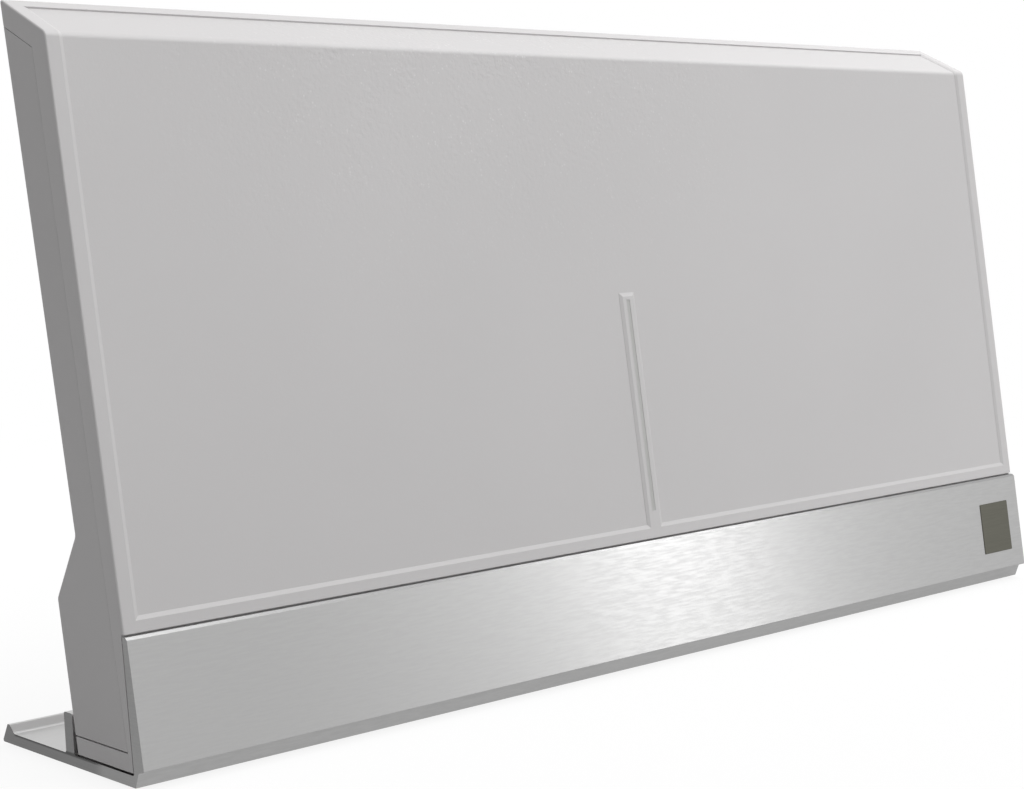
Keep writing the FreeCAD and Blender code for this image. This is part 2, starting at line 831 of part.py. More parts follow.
def coax_nut():
    """Hexagon nut that clamps the socket to the cover."""
    start = bulge_back + washer_thickness
    corner = nut_across / math.sqrt(3)
    turns = [math.radians(60 * i) for i in range(6)]
    points = [V(coax_offset + corner * math.cos(a), start, socket_level + corner * math.sin(a)) for a in turns]
    hexagon = Part.Face(Part.makePolygon(points + points[:1])).extrude(V(0, nut_thickness, 0))
    hole = rod(coax_radius + thread_clearance, (start - overcut, start + nut_thickness + overcut), coax_offset,
               socket_level)
    return hexagon.cut(hole)


def jack_floor_depth():
    """Depth of the power jack's closed end."""
    return board_back + jack_floor


def spring_slot():
    """Room of the jack's contact leaf along the lower side of its bore."""
    half = spring_width / 2
    start = jack_floor_depth()
    edge = socket_level - jack_bore
    return block((jack_offset - half, jack_offset + half), (start, start + spring_length),
                 (edge - spring_thickness, edge))


def power_jack_body():
    """Moulded block on the board with a round nose in the cover's hole and a bore for the plug."""
    wall = bulge_back - housing_wall - jack_wall_gap
    body = block((jack_offset - jack_width / 2, jack_offset + jack_width / 2), (board_back, wall),
                 (socket_level - jack_height / 2, socket_level + jack_height / 2))
    nose = rod(jack_nose, (board_back, bulge_back), jack_offset, socket_level)
    body = join([body, nose])
    body = body.cut(rod(jack_bore, (jack_floor_depth(), bulge_back + overcut), jack_offset, socket_level))
    body = body.cut(rod(jack_pin, (board_back - overcut, bulge_back), jack_offset, socket_level))
    return body.cut(spring_slot())


def power_jack_pin():
    """Centre pin from the board to just inside the jack's mouth."""
    return rod(jack_pin, (board_back, bulge_back - jack_pin_sink), jack_offset, socket_level)


def power_jack_spring():
    """Leaf that presses on the plug's sleeve, seated in its slot."""
    leaf = spring_slot()
    return leaf.cut(rod(jack_bore, (board_back, bulge_back), jack_offset, socket_level))


def cover_screws():
    """Countersunk screws through the rear cover into the front cover's bosses."""
    screws = []
    for x, up in cover_screw_places():
        screw = flat_head(cover_screw_tip, slab_back(up) - head_sink, cover_screw_radius, cover_head_radius,
                          cover_head_depth)
        screws.append(on_panel(turned(screw, V(x, 0, up))))
    return Part.Compound(screws)


def stand_screws():
    """Countersunk screws up through the base plate into the front cover."""
    tip = flange_z + bottom_groove - stand_boss_gap - housing_wall
    screw = flat_head(-tip, -stand_floor - head_sink, stand_screw_radius, stand_head_radius, stand_head_depth)
    return Part.Compound([turned(screw, V(x, y, 0), V(0, 0, -1)) for x, y in stand_screw_places()])


nodes = {
    "stand_extrusion": stand_extrusion(),
    "front_cover": front_cover(),
    "rear_cover": rear_cover(),
    "light_guide": on_panel(light_guide()),
    "status_lamp": on_panel(status_lamp()),
    "left_antenna_plate": on_panel(antenna_plate(-1)),
    "right_antenna_plate": on_panel(antenna_plate(1)),
    "amplifier_board": on_panel(amplifier_board()),
    "shield_frame": on_panel(shield_frame()),
    "shield_lid": on_panel(shield_lid()),
    "amplifier_chip": on_panel(amplifier_chip()),
    "regulator_chip": on_panel(regulator_chip()),
    "filter_capacitor": on_panel(filter_capacitor()),
    "balun_core": on_panel(balun_core()),
    "coax_barrel": on_panel(coax_barrel()),
    "coax_insulator": on_panel(coax_insulator()),
    "coax_contact": on_panel(coax_contact()),
    "coax_washer": on_panel(coax_washer()),
    "coax_nut": on_panel(coax_nut()),
    "power_jack_body": on_panel(power_jack_body()),
    "power_jack_pin": on_panel(power_jack_pin()),
    "power_jack_spring": on_panel(power_jack_spring()),
    "cover_screws": cover_screws(),
    "stand_screws": stand_screws(),
    **foot_pads(),
}

os.makedirs("parts", exist_ok=True)
for name, shape in nodes.items():
    shape.exportStep(f"parts/{name}.step")
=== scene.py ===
"""Looks of a slim indoor TV antenna in an aluminium stand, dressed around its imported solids.

All lengths are in metres in the part's own frame: X along the width, -Y towards the viewer, Z up.
"""

import json
import logging
import math
from dataclasses import dataclass
from enum import Enum
from functools import partial, reduce
from typing import Iterable, Sequence, Union

import bmesh
import bpy
import numpy as np
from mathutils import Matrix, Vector


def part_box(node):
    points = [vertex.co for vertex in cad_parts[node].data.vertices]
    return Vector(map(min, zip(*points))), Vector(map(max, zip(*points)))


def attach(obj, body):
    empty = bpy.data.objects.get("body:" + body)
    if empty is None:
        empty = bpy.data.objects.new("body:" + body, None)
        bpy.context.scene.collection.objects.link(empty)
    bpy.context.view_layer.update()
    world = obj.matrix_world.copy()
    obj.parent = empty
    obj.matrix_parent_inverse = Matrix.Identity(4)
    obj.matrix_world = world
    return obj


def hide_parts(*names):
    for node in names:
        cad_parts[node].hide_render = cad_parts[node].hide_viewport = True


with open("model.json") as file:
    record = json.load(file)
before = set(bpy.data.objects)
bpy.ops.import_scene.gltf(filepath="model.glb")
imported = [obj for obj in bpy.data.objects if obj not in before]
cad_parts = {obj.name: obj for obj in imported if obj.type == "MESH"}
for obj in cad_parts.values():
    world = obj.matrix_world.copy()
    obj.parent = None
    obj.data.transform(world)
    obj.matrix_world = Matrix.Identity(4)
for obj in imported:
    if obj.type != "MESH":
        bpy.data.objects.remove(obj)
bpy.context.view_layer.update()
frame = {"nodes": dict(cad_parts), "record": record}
LOG = logging.getLogger("antenna")

Socket = bpy.types.NodeSocket
Material = bpy.types.Material
Colour = tuple[float, float, float]
Point = tuple[float, float, float]
Span = tuple[float, float]
Feed = Union[Socket, float, Colour]
MM = 0.001
WELD = 0.0005 * MM  # points nearer to each other than this are joined
HAIR = 0.01 * MM  # points nearer to a plane than this lie on it
WHITE = (1.0, 1.0, 1.0)
BLACK = (0.0, 0.0, 0.0)
ROOT = "root"


class Way(Enum):
    """Directions in the part's frame."""

    ACROSS = (1.0, 0.0, 0.0)
    DEPTH = (0.0, 1.0, 0.0)
    UP = (0.0, 0.0, 1.0)

    @property
    def vector(self) -> np.ndarray:
        """The direction as an array."""
        return np.array(self.value)

    @property
    def letter(self) -> str:
        """The letter of its axis."""
        return "XYZ"[self.value.index(1.0)]


class Seal(Enum):
    """How a grid of points is closed into a surface."""

    COLUMNS = "columns"
    BOTH = "rows and columns"


@dataclass(frozen=True)
class Panel:
    """The leaning plane of the housing's front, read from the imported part.

    Attributes:
        normal: Unit direction square into the panel.
        rise: Unit direction up the panel.
        foot: Height of the panel's lower edge along the rise.
    """

    normal: np.ndarray
    rise: np.ndarray
    foot: float

    @classmethod
    def from_frame(cls, gap: float = 0.4 * MM) -> "Panel":
        """Read the lean from the coax socket's axis and the plane from the front cover.

        Args:
            gap: Height of the open joint between the stand's front wall and the panel.

        Returns:
            The panel's plane.
        """
        normal = np.array(mount("coax_socket")["axis"], float)
        rise = np.array((0.0, -normal[2], normal[1]))
        depth = float((vertices("front_cover") @ normal).min())
        lower_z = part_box("stand_extrusion")[1].z + gap
        return cls(normal, rise, (lower_z - depth * normal[2]) / rise[2])


def mount(name: str) -> dict:
    """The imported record's mount of that name."""
    return next(item for item in frame["record"]["mounts"] if item["name"] == name)


def vertices(node: str) -> np.ndarray:
    """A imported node's vertices as an array of rows of X, Y and Z.

    Args:
        node: The node's name.

    Returns:
        The array.
    """
    mesh = frame["nodes"][node].data
    flat = np.empty(len(mesh.vertices) * 3, np.float32)
    mesh.vertices.foreach_get("co", flat)
    return flat.reshape(-1, 3).astype(float)


def smooth_step(values: np.ndarray, low: float, high: float) -> np.ndarray:
    """Cubic ramp from 0 at low to 1 at high."""
    t = np.clip((values - low) / (high - low), 0.0, 1.0)
    return t * t * (3.0 - 2.0 * t)


def full_turn(count: int) -> np.ndarray:
    """Angles that divide a full turn evenly, from 0."""
    return np.linspace(0.0, 2.0 * math.pi, count, endpoint=False)


def frame_axes(axis: np.ndarray) -> tuple[np.ndarray, np.ndarray]:
    """Two unit directions square to an axis and to each other, the first along X where it can be.

    Args:
        axis: Unit direction of the axis.

    Returns:
        The two directions, which turn about the axis in that order.
    """
    first = Way.ACROSS.vector - axis * axis[0]
    first = first / np.linalg.norm(first)
    return first, np.cross(axis, first)


def in_scene(name: str, data: bpy.types.ID) -> bpy.types.Object:
    """Add an object with its data to the scene.

    Args:
        name: Name of the object.
        data: Its mesh, light or camera.

    Returns:
        The object.
    """
    thing = bpy.data.objects.new(name, data)
    bpy.context.scene.collection.objects.link(thing)
    return thing


def surface(name: str, grids: Iterable[np.ndarray], seal: Seal, crease: float = 32.0) -> bpy.types.Object:
    """Make one object from closed grids of points.

    Each grid has the shape rows by columns by 3. Its columns run round and join up, and a first or last
    row that is one point becomes a pole. With Seal.BOTH the last row joins the first as well.

    Args:
        name: Name of the object.
        grids: The grids, each a closed shape of its own.
        seal: How the grids are closed.
        crease: Angle in degrees over which an edge stays sharp.

    Returns:
        The new object, at the origin, with its place in its mesh.
    """
    points, faces, start = [], [], 0
    for grid in grids:
        rows, columns = grid.shape[:2]
        index = start + np.arange(rows * columns).reshape(rows, columns)
        index = np.concatenate((index, index[:, :1]), axis=1)
        if seal is Seal.BOTH:
            index = np.concatenate((index, index[:1]), axis=0)
        quads = np.stack((index[:-1, :-1], index[:-1, 1:], index[1:, 1:], index[1:, :-1]), axis=-1)
        points.append(grid.reshape(-1, 3))
        faces.append(quads.reshape(-1, 4))
        start += rows * columns
    mesh = bpy.data.meshes.new(name)
    mesh.from_pydata(np.concatenate(points).tolist(), [], np.concatenate(faces).tolist())
    build = bmesh.new()
    build.from_mesh(mesh)
    bmesh.ops.remove_doubles(build, verts=build.verts, dist=WELD)
    bmesh.ops.recalc_face_normals(build, faces=build.faces)
    build.to_mesh(mesh)
    build.free()
    mesh.shade_smooth()
    mesh.set_sharp_from_angle(angle=math.radians(crease))
    return in_scene(name, mesh)


def adopt(piece: bpy.types.Object, material: Material, stands_for: Sequence[str] = ()) -> None:
    """Give a new piece its material, let it ride on the part and stand for nodes.

    Args:
        piece: The new object.
        material: Its material.
        stands_for: Nodes that it replaces.
    """
    piece.data.materials.clear()
    piece.data.materials.append(material)
    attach(piece, ROOT)
    if stands_for:
        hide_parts(*stands_for)
    LOG.info("%s: new piece, %d faces", piece.name, len(piece.data.polygons))


def dress(nodes: Iterable[str], material: Material) -> None:
    """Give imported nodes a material.

    Args:
        nodes: Names of the nodes.
        material: Their material.
    """
    for node in nodes:
        mesh = frame["nodes"][node].data
        mesh.materials.clear()
        mesh.materials.append(material)
        LOG.info("%s: %s", node, material.name)


def toned(colour: Colour, factor: float) -> Colour:
    """A colour made lighter or darker by a factor."""
    return tuple(min(1.0, part * factor) for part in colour)


class Graph:
    """A node tree with short ways to add and join its nodes."""

    def __init__(self, tree: bpy.types.NodeTree) -> None:
        """Take the tree to work in."""
        self.tree = tree

    @classmethod
    def fresh(cls, owner: Union[Material, bpy.types.World]) -> "Graph":
        """Start in the emptied tree of a material or a world.

        Args:
            owner: The material or world.

        Returns:
            The graph.
        """
        owner.use_nodes = True
        owner.node_tree.nodes.clear()
        return cls(owner.node_tree)

    def add(self, kind: str, **settings: object) -> bpy.types.Node:
        """Add a node of a kind, with its settings.

        Args:
            kind: The node's type.
            **settings: Its properties by name.

        Returns:
            The node.
        """
        node = self.tree.nodes.new(kind)
        for name, value in settings.items():
            setattr(node, name, value)
        return node

    def feed(self, socket: Socket, source: Feed) -> None:
        """Link an input to another node's output, or set it to a plain value.

        Args:
            socket: The input.
            source: The output or the value.
        """
        if isinstance(source, Socket):
            self.tree.links.new(source, socket)
        elif socket.type == "RGBA":
            socket.default_value = (*source, 1.0)
        else:
            socket.default_value = source

    def wire(self, node: bpy.types.Node, **values: Feed) -> bpy.types.Node:
        """Feed a node's inputs by name, with an underscore for a space, and give the node back.

        Args:
            node: The node.
            **values: Outputs or plain values for its inputs.

        Returns:
            The same node.
        """
        for name, value in values.items():
            self.feed(node.inputs[name.replace("_", " ")], value)
        return node

    def math(self, operation: str, *values: Feed) -> Socket:
        """Work out a number with a Math node.

        Args:
            operation: The Math node's operation.
            *values: Its inputs in order.

        Returns:
            The result's socket.
        """
        node = self.add("ShaderNodeMath", operation=operation)
        for socket, value in zip(node.inputs, values):
            self.feed(socket, value)
        return node.outputs[0]

    def product(self, *values: Feed) -> Socket:
        """Product of two or more numbers."""
        return reduce(partial(self.math, "MULTIPLY"), values)

    def dot(self, vector: Feed, direction: Sequence[float]) -> Socket:
        """Distance of a vector along a fixed direction.

        Args:
            vector: The vector.
            direction: Unit direction.

        Returns:
            The distance's socket.
        """
        node = self.add("ShaderNodeVectorMath", operation="DOT_PRODUCT")
        self.feed(node.inputs[0], vector)
        node.inputs[1].default_value = tuple(direction)
        return node.outputs["Value"]

    def ramp(self, value: Feed, low: float, high: float, start: float = 0.0, end: float = 1.0) -> Socket:
        """Smooth ramp from start at low to end at high.

        Args:
            value: The number that the ramp follows.
            low: Number at which it starts.
            high: Number at which it ends.
            start: Result up to low.
            end: Result from high on.

        Returns:
            The result's socket.
        """
        node = self.add("ShaderNodeMapRange", interpolation_type="SMOOTHSTEP")
        self.wire(node, Value=value, From_Min=low, From_Max=high, To_Min=start, To_Max=end)
        return node.outputs["Result"]

    def between(self, share: Feed, start: float, end: float) -> Socket:
        """Smooth passage from start to end as a share goes from 0 to 1."""
        return self.ramp(share, 0.0, 1.0, start, end)

    def scaled(self, vector: Feed, scale: Point) -> Socket:
        """A vector with each of its parts scaled."""
        node = self.add("ShaderNodeMapping", vector_type="POINT")
        return self.wire(node, Vector=vector, Scale=scale).outputs["Vector"]

    def noise(self, vector: Feed, scale: Feed, detail: float = 2.0, roughness: float = 0.5) -> Socket:
        """Cloudy noise between about 0 and 1."""
        node = self.add("ShaderNodeTexNoise")
        return self.wire(node, Vector=vector, Scale=scale, Detail=detail, Roughness=roughness).outputs["Fac"]

    def cells(self, vector: Feed, scale: Feed, feature: str) -> bpy.types.Node:
        """Cells round scattered points."""
        return self.wire(self.add("ShaderNodeTexVoronoi", feature=feature), Vector=vector, Scale=scale)

    def blend(self, factor: Feed, first: Feed, second: Feed) -> Socket:
        """Colour between two colours.

        Args:
            factor: Share of the second colour.
            first: The first colour.
            second: The second colour.

        Returns:
            The colour's socket.
        """
        node = self.add("ShaderNodeMix", data_type="RGBA")
        # The colours' sockets go by number, because their names repeat.
        for index, source in ((0, factor), (6, first), (7, second)):
            self.feed(node.inputs[index], source)
        return node.outputs[2]

    def tones(self, factor: Feed, colour: Colour, share: float) -> Socket:
        """Colour that goes from darker to lighter than a colour by a share."""
        return self.blend(factor, toned(colour, 1.0 - share), toned(colour, 1.0 + share))

    def group(self, tree: bpy.types.NodeTree, **values: Feed) -> bpy.types.Node:
        """Place a node group, with its inputs by name."""
        return self.wire(self.add("ShaderNodeGroup", node_tree=tree), **values)

    def place(self) -> Socket:
        """Places on the object in metres."""
        return self.add("ShaderNodeTexCoord").outputs["Object"]

    def bump(self, height: Feed, distance: float) -> Socket:
        """Normal that follows a height, whose full range stands for a distance."""
        return self.wire(self.add("ShaderNodeBump"), Height=height, Distance=distance).outputs["Normal"]


def node_group(name: str, inputs: dict[str, str], outputs: dict[str, str]) -> tuple[Graph, dict, dict]:
    """Start a shader node group with named sockets.

    Args:
        name: Name of the group.
        inputs: Socket types of its inputs by name.
        outputs: Socket types of its outputs by name.

    Returns:
        The graph to build in, its inputs' sources and its outputs' targets, by name.
    """
    tree = bpy.data.node_groups.new(name, "ShaderNodeTree")
    for way, sockets in (("INPUT", inputs), ("OUTPUT", outputs)):
        for socket, kind in sockets.items():
            tree.interface.new_socket(socket, in_out=way, socket_type=kind)
    start = tree.nodes.new("NodeGroupInput")
    end = tree.nodes.new("NodeGroupOutput")
    return Graph(tree), {s: start.outputs[s] for s in inputs}, {s: end.inputs[s] for s in outputs}


class Effects:
    """Surface effects that several finishes share, each built once as a node group."""

    FLOAT = "NodeSocketFloat"
    VECTOR = "NodeSocketVector"
    SPREAD = (0.3, 0.7)  # most noise lies between these

    def __init__(self) -> None:
        """Build the groups."""
        self.grain = self._grain()
        self.brush = self._brush()
        self.drift = self._drift()

    def _grain(self) -> bpy.types.NodeTree:
        """Grain of an etched mould: soft pebbles with finer noise on them, and painted glints of light as
        bright dots in clusters.

        The finer noise, the glints and their clusters have scales of their own, as shares of the grain's.
        A glint is the middle of a cell, out to where its dot fades, in those cells whose random tint is
        high, and in a cluster.

        Returns:
            The group's tree, which puts out Height and the mask of the painted glints.
        """
        fine_scale, pebble_height = 1.7, -0.6
        glint_scale, cluster_scale = 0.5, 0.06
        chosen, dot, clustered = (0.6, 1.0), (0.1, 0.5), (0.4, 0.62)
        graph, given, wanted = node_group("mould_grain", {"Vector": self.VECTOR, "Scale": self.FLOAT},
                                          {"Height": self.FLOAT, "Glint": self.FLOAT})
        vector, scale = given["Vector"], given["Scale"]
        pebbles = graph.cells(vector, scale, "SMOOTH_F1").outputs["Distance"]
        fine = graph.noise(vector, graph.product(scale, fine_scale), detail=3.0, roughness=0.6)
        graph.feed(wanted["Height"], graph.math("MULTIPLY_ADD", pebbles, pebble_height, fine))
        # Painted highlight: bright dots in clusters stand in for glints of light off the grain.
        cells = graph.cells(vector, graph.product(scale, glint_scale), "F1")
        tint = graph.wire(graph.add("ShaderNodeSeparateColor"), Color=cells.outputs["Color"])
        picked = graph.ramp(tint.outputs["Red"], *chosen)
        dots = graph.ramp(cells.outputs["Distance"], *dot, 1.0, 0.0)
        clusters = graph.ramp(graph.noise(vector, graph.product(scale, cluster_scale)), *clustered)
        graph.feed(wanted["Glint"], graph.product(picked, dots, clusters))
        return graph.tree

    def _brush(self) -> bpy.types.NodeTree:
        """Lines of a brushed metal from places already stretched along the lines: coarse and fine strokes.

        Returns:
            The group's tree, which puts out Height and Tone.
        """
        fine_scale, coarse_share = 3.1, 0.6
        graph, given, wanted = node_group("brush_lines", {"Vector": self.VECTOR},
                                          {"Height": self.FLOAT, "Tone": self.FLOAT})
        coarse = graph.noise(given["Vector"], 1.0, detail=3.0, roughness=0.6)
        fine = graph.noise(given["Vector"], fine_scale)
        parts = graph.product(coarse, coarse_share), graph.product(fine, 1.0 - coarse_share)
        graph.feed(wanted["Height"], graph.math("ADD", *parts))
        graph.feed(wanted["Tone"], graph.ramp(coarse, *self.SPREAD))
        return graph.tree

    def _drift(self) -> bpy.types.NodeTree:
        """Slow change of tone over a surface, from 0 to 1.

        Returns:
            The group's tree, which puts out Value.
        """
        graph, given, wanted = node_group("slow_drift", {"Vector": self.VECTOR, "Scale": self.FLOAT},
                                          {"Value": self.FLOAT})
        graph.feed(wanted["Value"], graph.ramp(graph.noise(given["Vector"], given["Scale"]), *self.SPREAD))
        return graph.tree


EFFECTS = Effects()


def drift_over(graph: Graph, place: Socket, clouds: float) -> Socket:
    """Slow drift from 0 to 1, with so many clouds in a metre."""
    return graph.group(EFFECTS.drift, Vector=place, Scale=clouds).outputs["Value"]


def shade(name: str) -> tuple[Material, Graph, bpy.types.Node]:
    """Start a material.

    Args:
        name: Name of the material.

    Returns:
        The material, its graph and its Principled shader, joined to the output.
    """
    material = bpy.data.materials.new(name)
    graph = Graph.fresh(material)
    shader = graph.add("ShaderNodeBsdfPrincipled")
    graph.wire(graph.add("ShaderNodeOutputMaterial"), Surface=shader.outputs["BSDF"])
    return material, graph, shader


@dataclass(frozen=True)
class Moulding:
    """Moulded plastic or rubber with an even etched grain.

    Attributes:
        name: Name of the material.
        colour: Base colour.
        roughness: Roughness of its surface.
        grain: Size of the grain.
        relief: Height of the grain.
        drift: Share by which the tone changes over the surface.
        clouds: How many clouds of that change a metre has.
        vary: How far the roughness changes with the tone.
    """

    name: str
    colour: Colour
    roughness: float
    grain: float = 0.35 * MM
    relief: float = 0.006 * MM
    drift: float = 0.03
    clouds: float = 25.0
    vary: float = 0.03

    def _base(self, graph: Graph, place: Socket) -> tuple[bpy.types.Node, Socket, Socket]:
        """Grain, slow drift, and the colour that follows the drift.

        Args:
            graph: The material's graph.
            place: Places on the object.

        Returns:
            The grain's node, the drift and the colour.
        """
        grain = graph.group(EFFECTS.grain, Vector=place, Scale=1.0 / self.grain)
        drift = drift_over(graph, place, self.clouds)
        return grain, drift, graph.tones(drift, self.colour, self.drift)

    def material(self) -> Material:
        """Build the material: grain in the normal, slow drift in colour and roughness.

        Returns:
            The material.
        """
        material, graph, shader = shade(self.name)
        grain, drift, colour = self._base(graph, graph.place())
        roughness = graph.between(drift, self.roughness - self.vary, self.roughness + self.vary)
        normal = graph.bump(grain.outputs["Height"], self.relief)
        graph.wire(shader, Base_Color=colour, Roughness=roughness, Normal=normal)
        return material


@dataclass(frozen=True)
class PanelMoulding(Moulding):
    """Silver moulding with a grained field inside a smooth border.

    Pebbles stand out, and bright dots are painted in as glints of light, in a part of the field: they come in
    up the panel and from the left end, and fade out to the right.

    Attributes:
        panel: The panel's plane.
        half_field: Half the field's width.
        border_lower: Height of the lower border.
        half_tongue: Half the width of the smooth tongue in the field.
        tongue_top: Height of the tongue's top up the panel.
        field_rear: Y at which the field ends on the sloping top.
        edge: Half the width over which the field's finish begins.
        field_relief: Height of the field's grain.
        field_roughness: Roughness of the field.
        pebble: Size of the wider pebbles on the field.
        pebble_relief: Height of these pebbles.
        patch: Size of the patches in which they stand out.
        patch_noise: Noise between which a patch begins and is whole.
        patch_least: Share of the pebbles' height that is left between patches.
        glint_lift: Share by which the painted glints, bright dots on the field, are lighter.
        shown_rise: Heights up the panel between which pebbles and painted glints come in.
        shown_start: Places along X between which most of them come in.
        shown_fade: Places along X between which most of them fade out.
        least_low: Share of them at the panel's foot.
        least_end: Share of them at the panel's ends.
    """

    clouds: float = 12.0
    panel: Panel = None
    half_field: float = 0.0
    border_lower: float = 0.0
    half_tongue: float = 0.0
    tongue_top: float = 0.0
    field_rear: float = 0.0
    edge: float = 0.15 * MM
    field_relief: float = 0.012 * MM
    field_roughness: float = 0.5
    pebble: float = 1.1 * MM
    pebble_relief: float = 0.15 * MM
    patch: float = 8.0 * MM
    patch_noise: Span = (0.35, 0.65)
    patch_least: float = 0.4
    glint_lift: float = 0.3
    shown_rise: Span = (50.0 * MM, 120.0 * MM)
    shown_start: Span = (-140.0 * MM, -70.0 * MM)
    shown_fade: Span = (0.0, 70.0 * MM)
    least_low: float = 0.1
    least_end: float = 0.2

    def _past(self, graph: Graph, value: Socket, limit: float, *ends: float) -> Socket:
        """Mask that changes as a value passes a limit, from 0 to 1 or between given ends."""
        return graph.ramp(value, limit - self.edge, limit + self.edge, *ends)

    def _field(self, graph: Graph, place: Socket) -> Socket:
        """Mask that is 1 on the grained field and 0 on the border, the tongue and the sides.

        Args:
            graph: The material's graph.
            place: Places on the object.

        Returns:
            The mask.
        """
        x = graph.math("ABSOLUTE", graph.dot(place, Way.ACROSS.value))
        up = graph.dot(place, self.panel.rise)
        y = graph.dot(place, Way.DEPTH.value)
        inside = self._past(graph, x, self.half_field, 1.0, 0.0)
        above = self._past(graph, up, self.panel.foot + self.border_lower)
        before = self._past(graph, y, self.field_rear, 1.0, 0.0)
        beside = self._past(graph, x, self.half_tongue)
        over = self._past(graph, up, self.panel.foot + self.tongue_top)
        clear = graph.math("MAXIMUM", beside, over)
        return graph.product(graph.product(inside, above), graph.product(before, clear))

    def _shown(self, graph: Graph, place: Socket, field: Socket) -> Socket:
        """Share of pebbles and painted glints that a place shows.

        Args:
            graph: The material's graph.
            place: Places on the object.
            field: Mask of the field.

        Returns:
            The share.
        """
        # Painted glints and pebbles show most up the panel and in its middle, where the light glances off the
        # field.
        low, high = (self.panel.foot + rise for rise in self.shown_rise)
        upper = graph.ramp(graph.dot(place, self.panel.rise), low, high, self.least_low, 1.0)
        x = graph.dot(place, Way.ACROSS.value)
        middle = graph.product(graph.ramp(x, *self.shown_start, self.least_end, 1.0),
                               graph.ramp(x, *self.shown_fade, 1.0, self.least_end))
        return graph.product(upper, middle, field)

    def _pebbles(self, graph: Graph, place: Socket, shown: Socket) -> Socket:
        """Height of the wider pebbles about their middle: noise less its mean, in patches, where shown.

        Args:
            graph: The material's graph.
            place: Places on the object.
            shown: Share that a place shows.

        Returns:
            The height, as a share of pebble_relief.
        """
        noise_mean = 0.5
        patches = graph.noise(place, 1.0 / self.patch, detail=1.0)
        patches = graph.ramp(patches, *self.patch_noise, self.patch_least, 1.0)
        pebbles = graph.math("SUBTRACT", graph.noise(place, 1.0 / self.pebble), noise_mean)
        return graph.product(pebbles, graph.product(patches, shown))

    def material(self) -> Material:
        """Build the material: grain, pebbles and painted glints on the field, faint grain on the border.

        Returns:
            The material.
        """
        material, graph, shader = shade(self.name)
        place = graph.place()
        field = self._field(graph, place)
        grain, _, colour = self._base(graph, place)
        shown = self._shown(graph, place, field)
        # Painted highlight: the glints lighten the colour towards white.
        painted_glints = graph.product(grain.outputs["Glint"], shown)
        colour = graph.blend(graph.product(painted_glints, self.glint_lift), colour, WHITE)
        roughness = graph.between(field, self.roughness, self.field_roughness)
        share = graph.between(field, self.relief / self.field_relief, 1.0)
        height = graph.product(grain.outputs["Height"], share)
        height = graph.math("MULTIPLY_ADD", self._pebbles(graph, place, shown),
                            self.pebble_relief / self.field_relief, height)
        normal = graph.bump(height, self.field_relief)
        graph.wire(shader, Base_Color=colour, Roughness=roughness, Normal=normal)
        return material


@dataclass(frozen=True)
class BrushedMetal:
    """Metal brushed or rolled along one direction.

    Attributes:
        name: Name of the material.
        colour: Base colour.
        roughness: Roughness of its surface.
        along: Direction of the strokes.
        stroke: Length of a stroke.
        pitch: Distance between strokes.
        relief: Height of the strokes.
        contrast: Share by which strokes differ in tone.
        vary: How far strokes change the roughness, paler ones being smoother.
        anisotropy: How far highlights spread across the strokes.
        edge_gloss: Share of its gloss that the metal keeps where it is seen nearly edge on.
    """

    name: str
    colour: Colour
    roughness: float
    along: Way = Way.ACROSS
    stroke: float = 12.0 * MM
    pitch: float = 0.25 * MM
    relief: float = 0.004 * MM
    contrast: float = 0.06
    vary: float = 0.03
    anisotropy: float = 0.6
    edge_gloss: float = 1.0

    def _layers(self, graph: Graph, place: Socket) -> tuple[Socket, Socket, Socket]:
        """Colour, roughness and height of the stretched strokes.

        Args:
            graph: The material's graph.
            place: Places on the object.

        Returns:
            The colour, the roughness and the height.
        """
        scale = tuple(1.0 / (self.stroke if part else self.pitch) for part in self.along.value)
        lines = graph.group(EFFECTS.brush, Vector=graph.scaled(place, scale))
        tone = lines.outputs["Tone"]
        roughness = graph.between(tone, self.roughness + self.vary, self.roughness - self.vary)
        return graph.tones(tone, self.colour, self.contrast), roughness, lines.outputs["Height"]

    def material(self) -> Material:
        """Build the material: layers in colour, roughness and normal, highlights across the strokes.

        Returns:
            The material.
        """
        material, graph, shader = shade(self.name)
        colour, roughness, height = self._layers(graph, graph.place())
        tangent = graph.add("ShaderNodeTangent", direction_type="RADIAL", axis=self.along.letter)
        graph.wire(shader, Base_Color=colour, Roughness=roughness, Normal=graph.bump(height, self.relief),
                   Tangent=tangent.outputs["Tangent"], Metallic=1.0, Anisotropic=self.anisotropy,
                   Specular_Tint=(self.edge_gloss,) * 3)
        return material


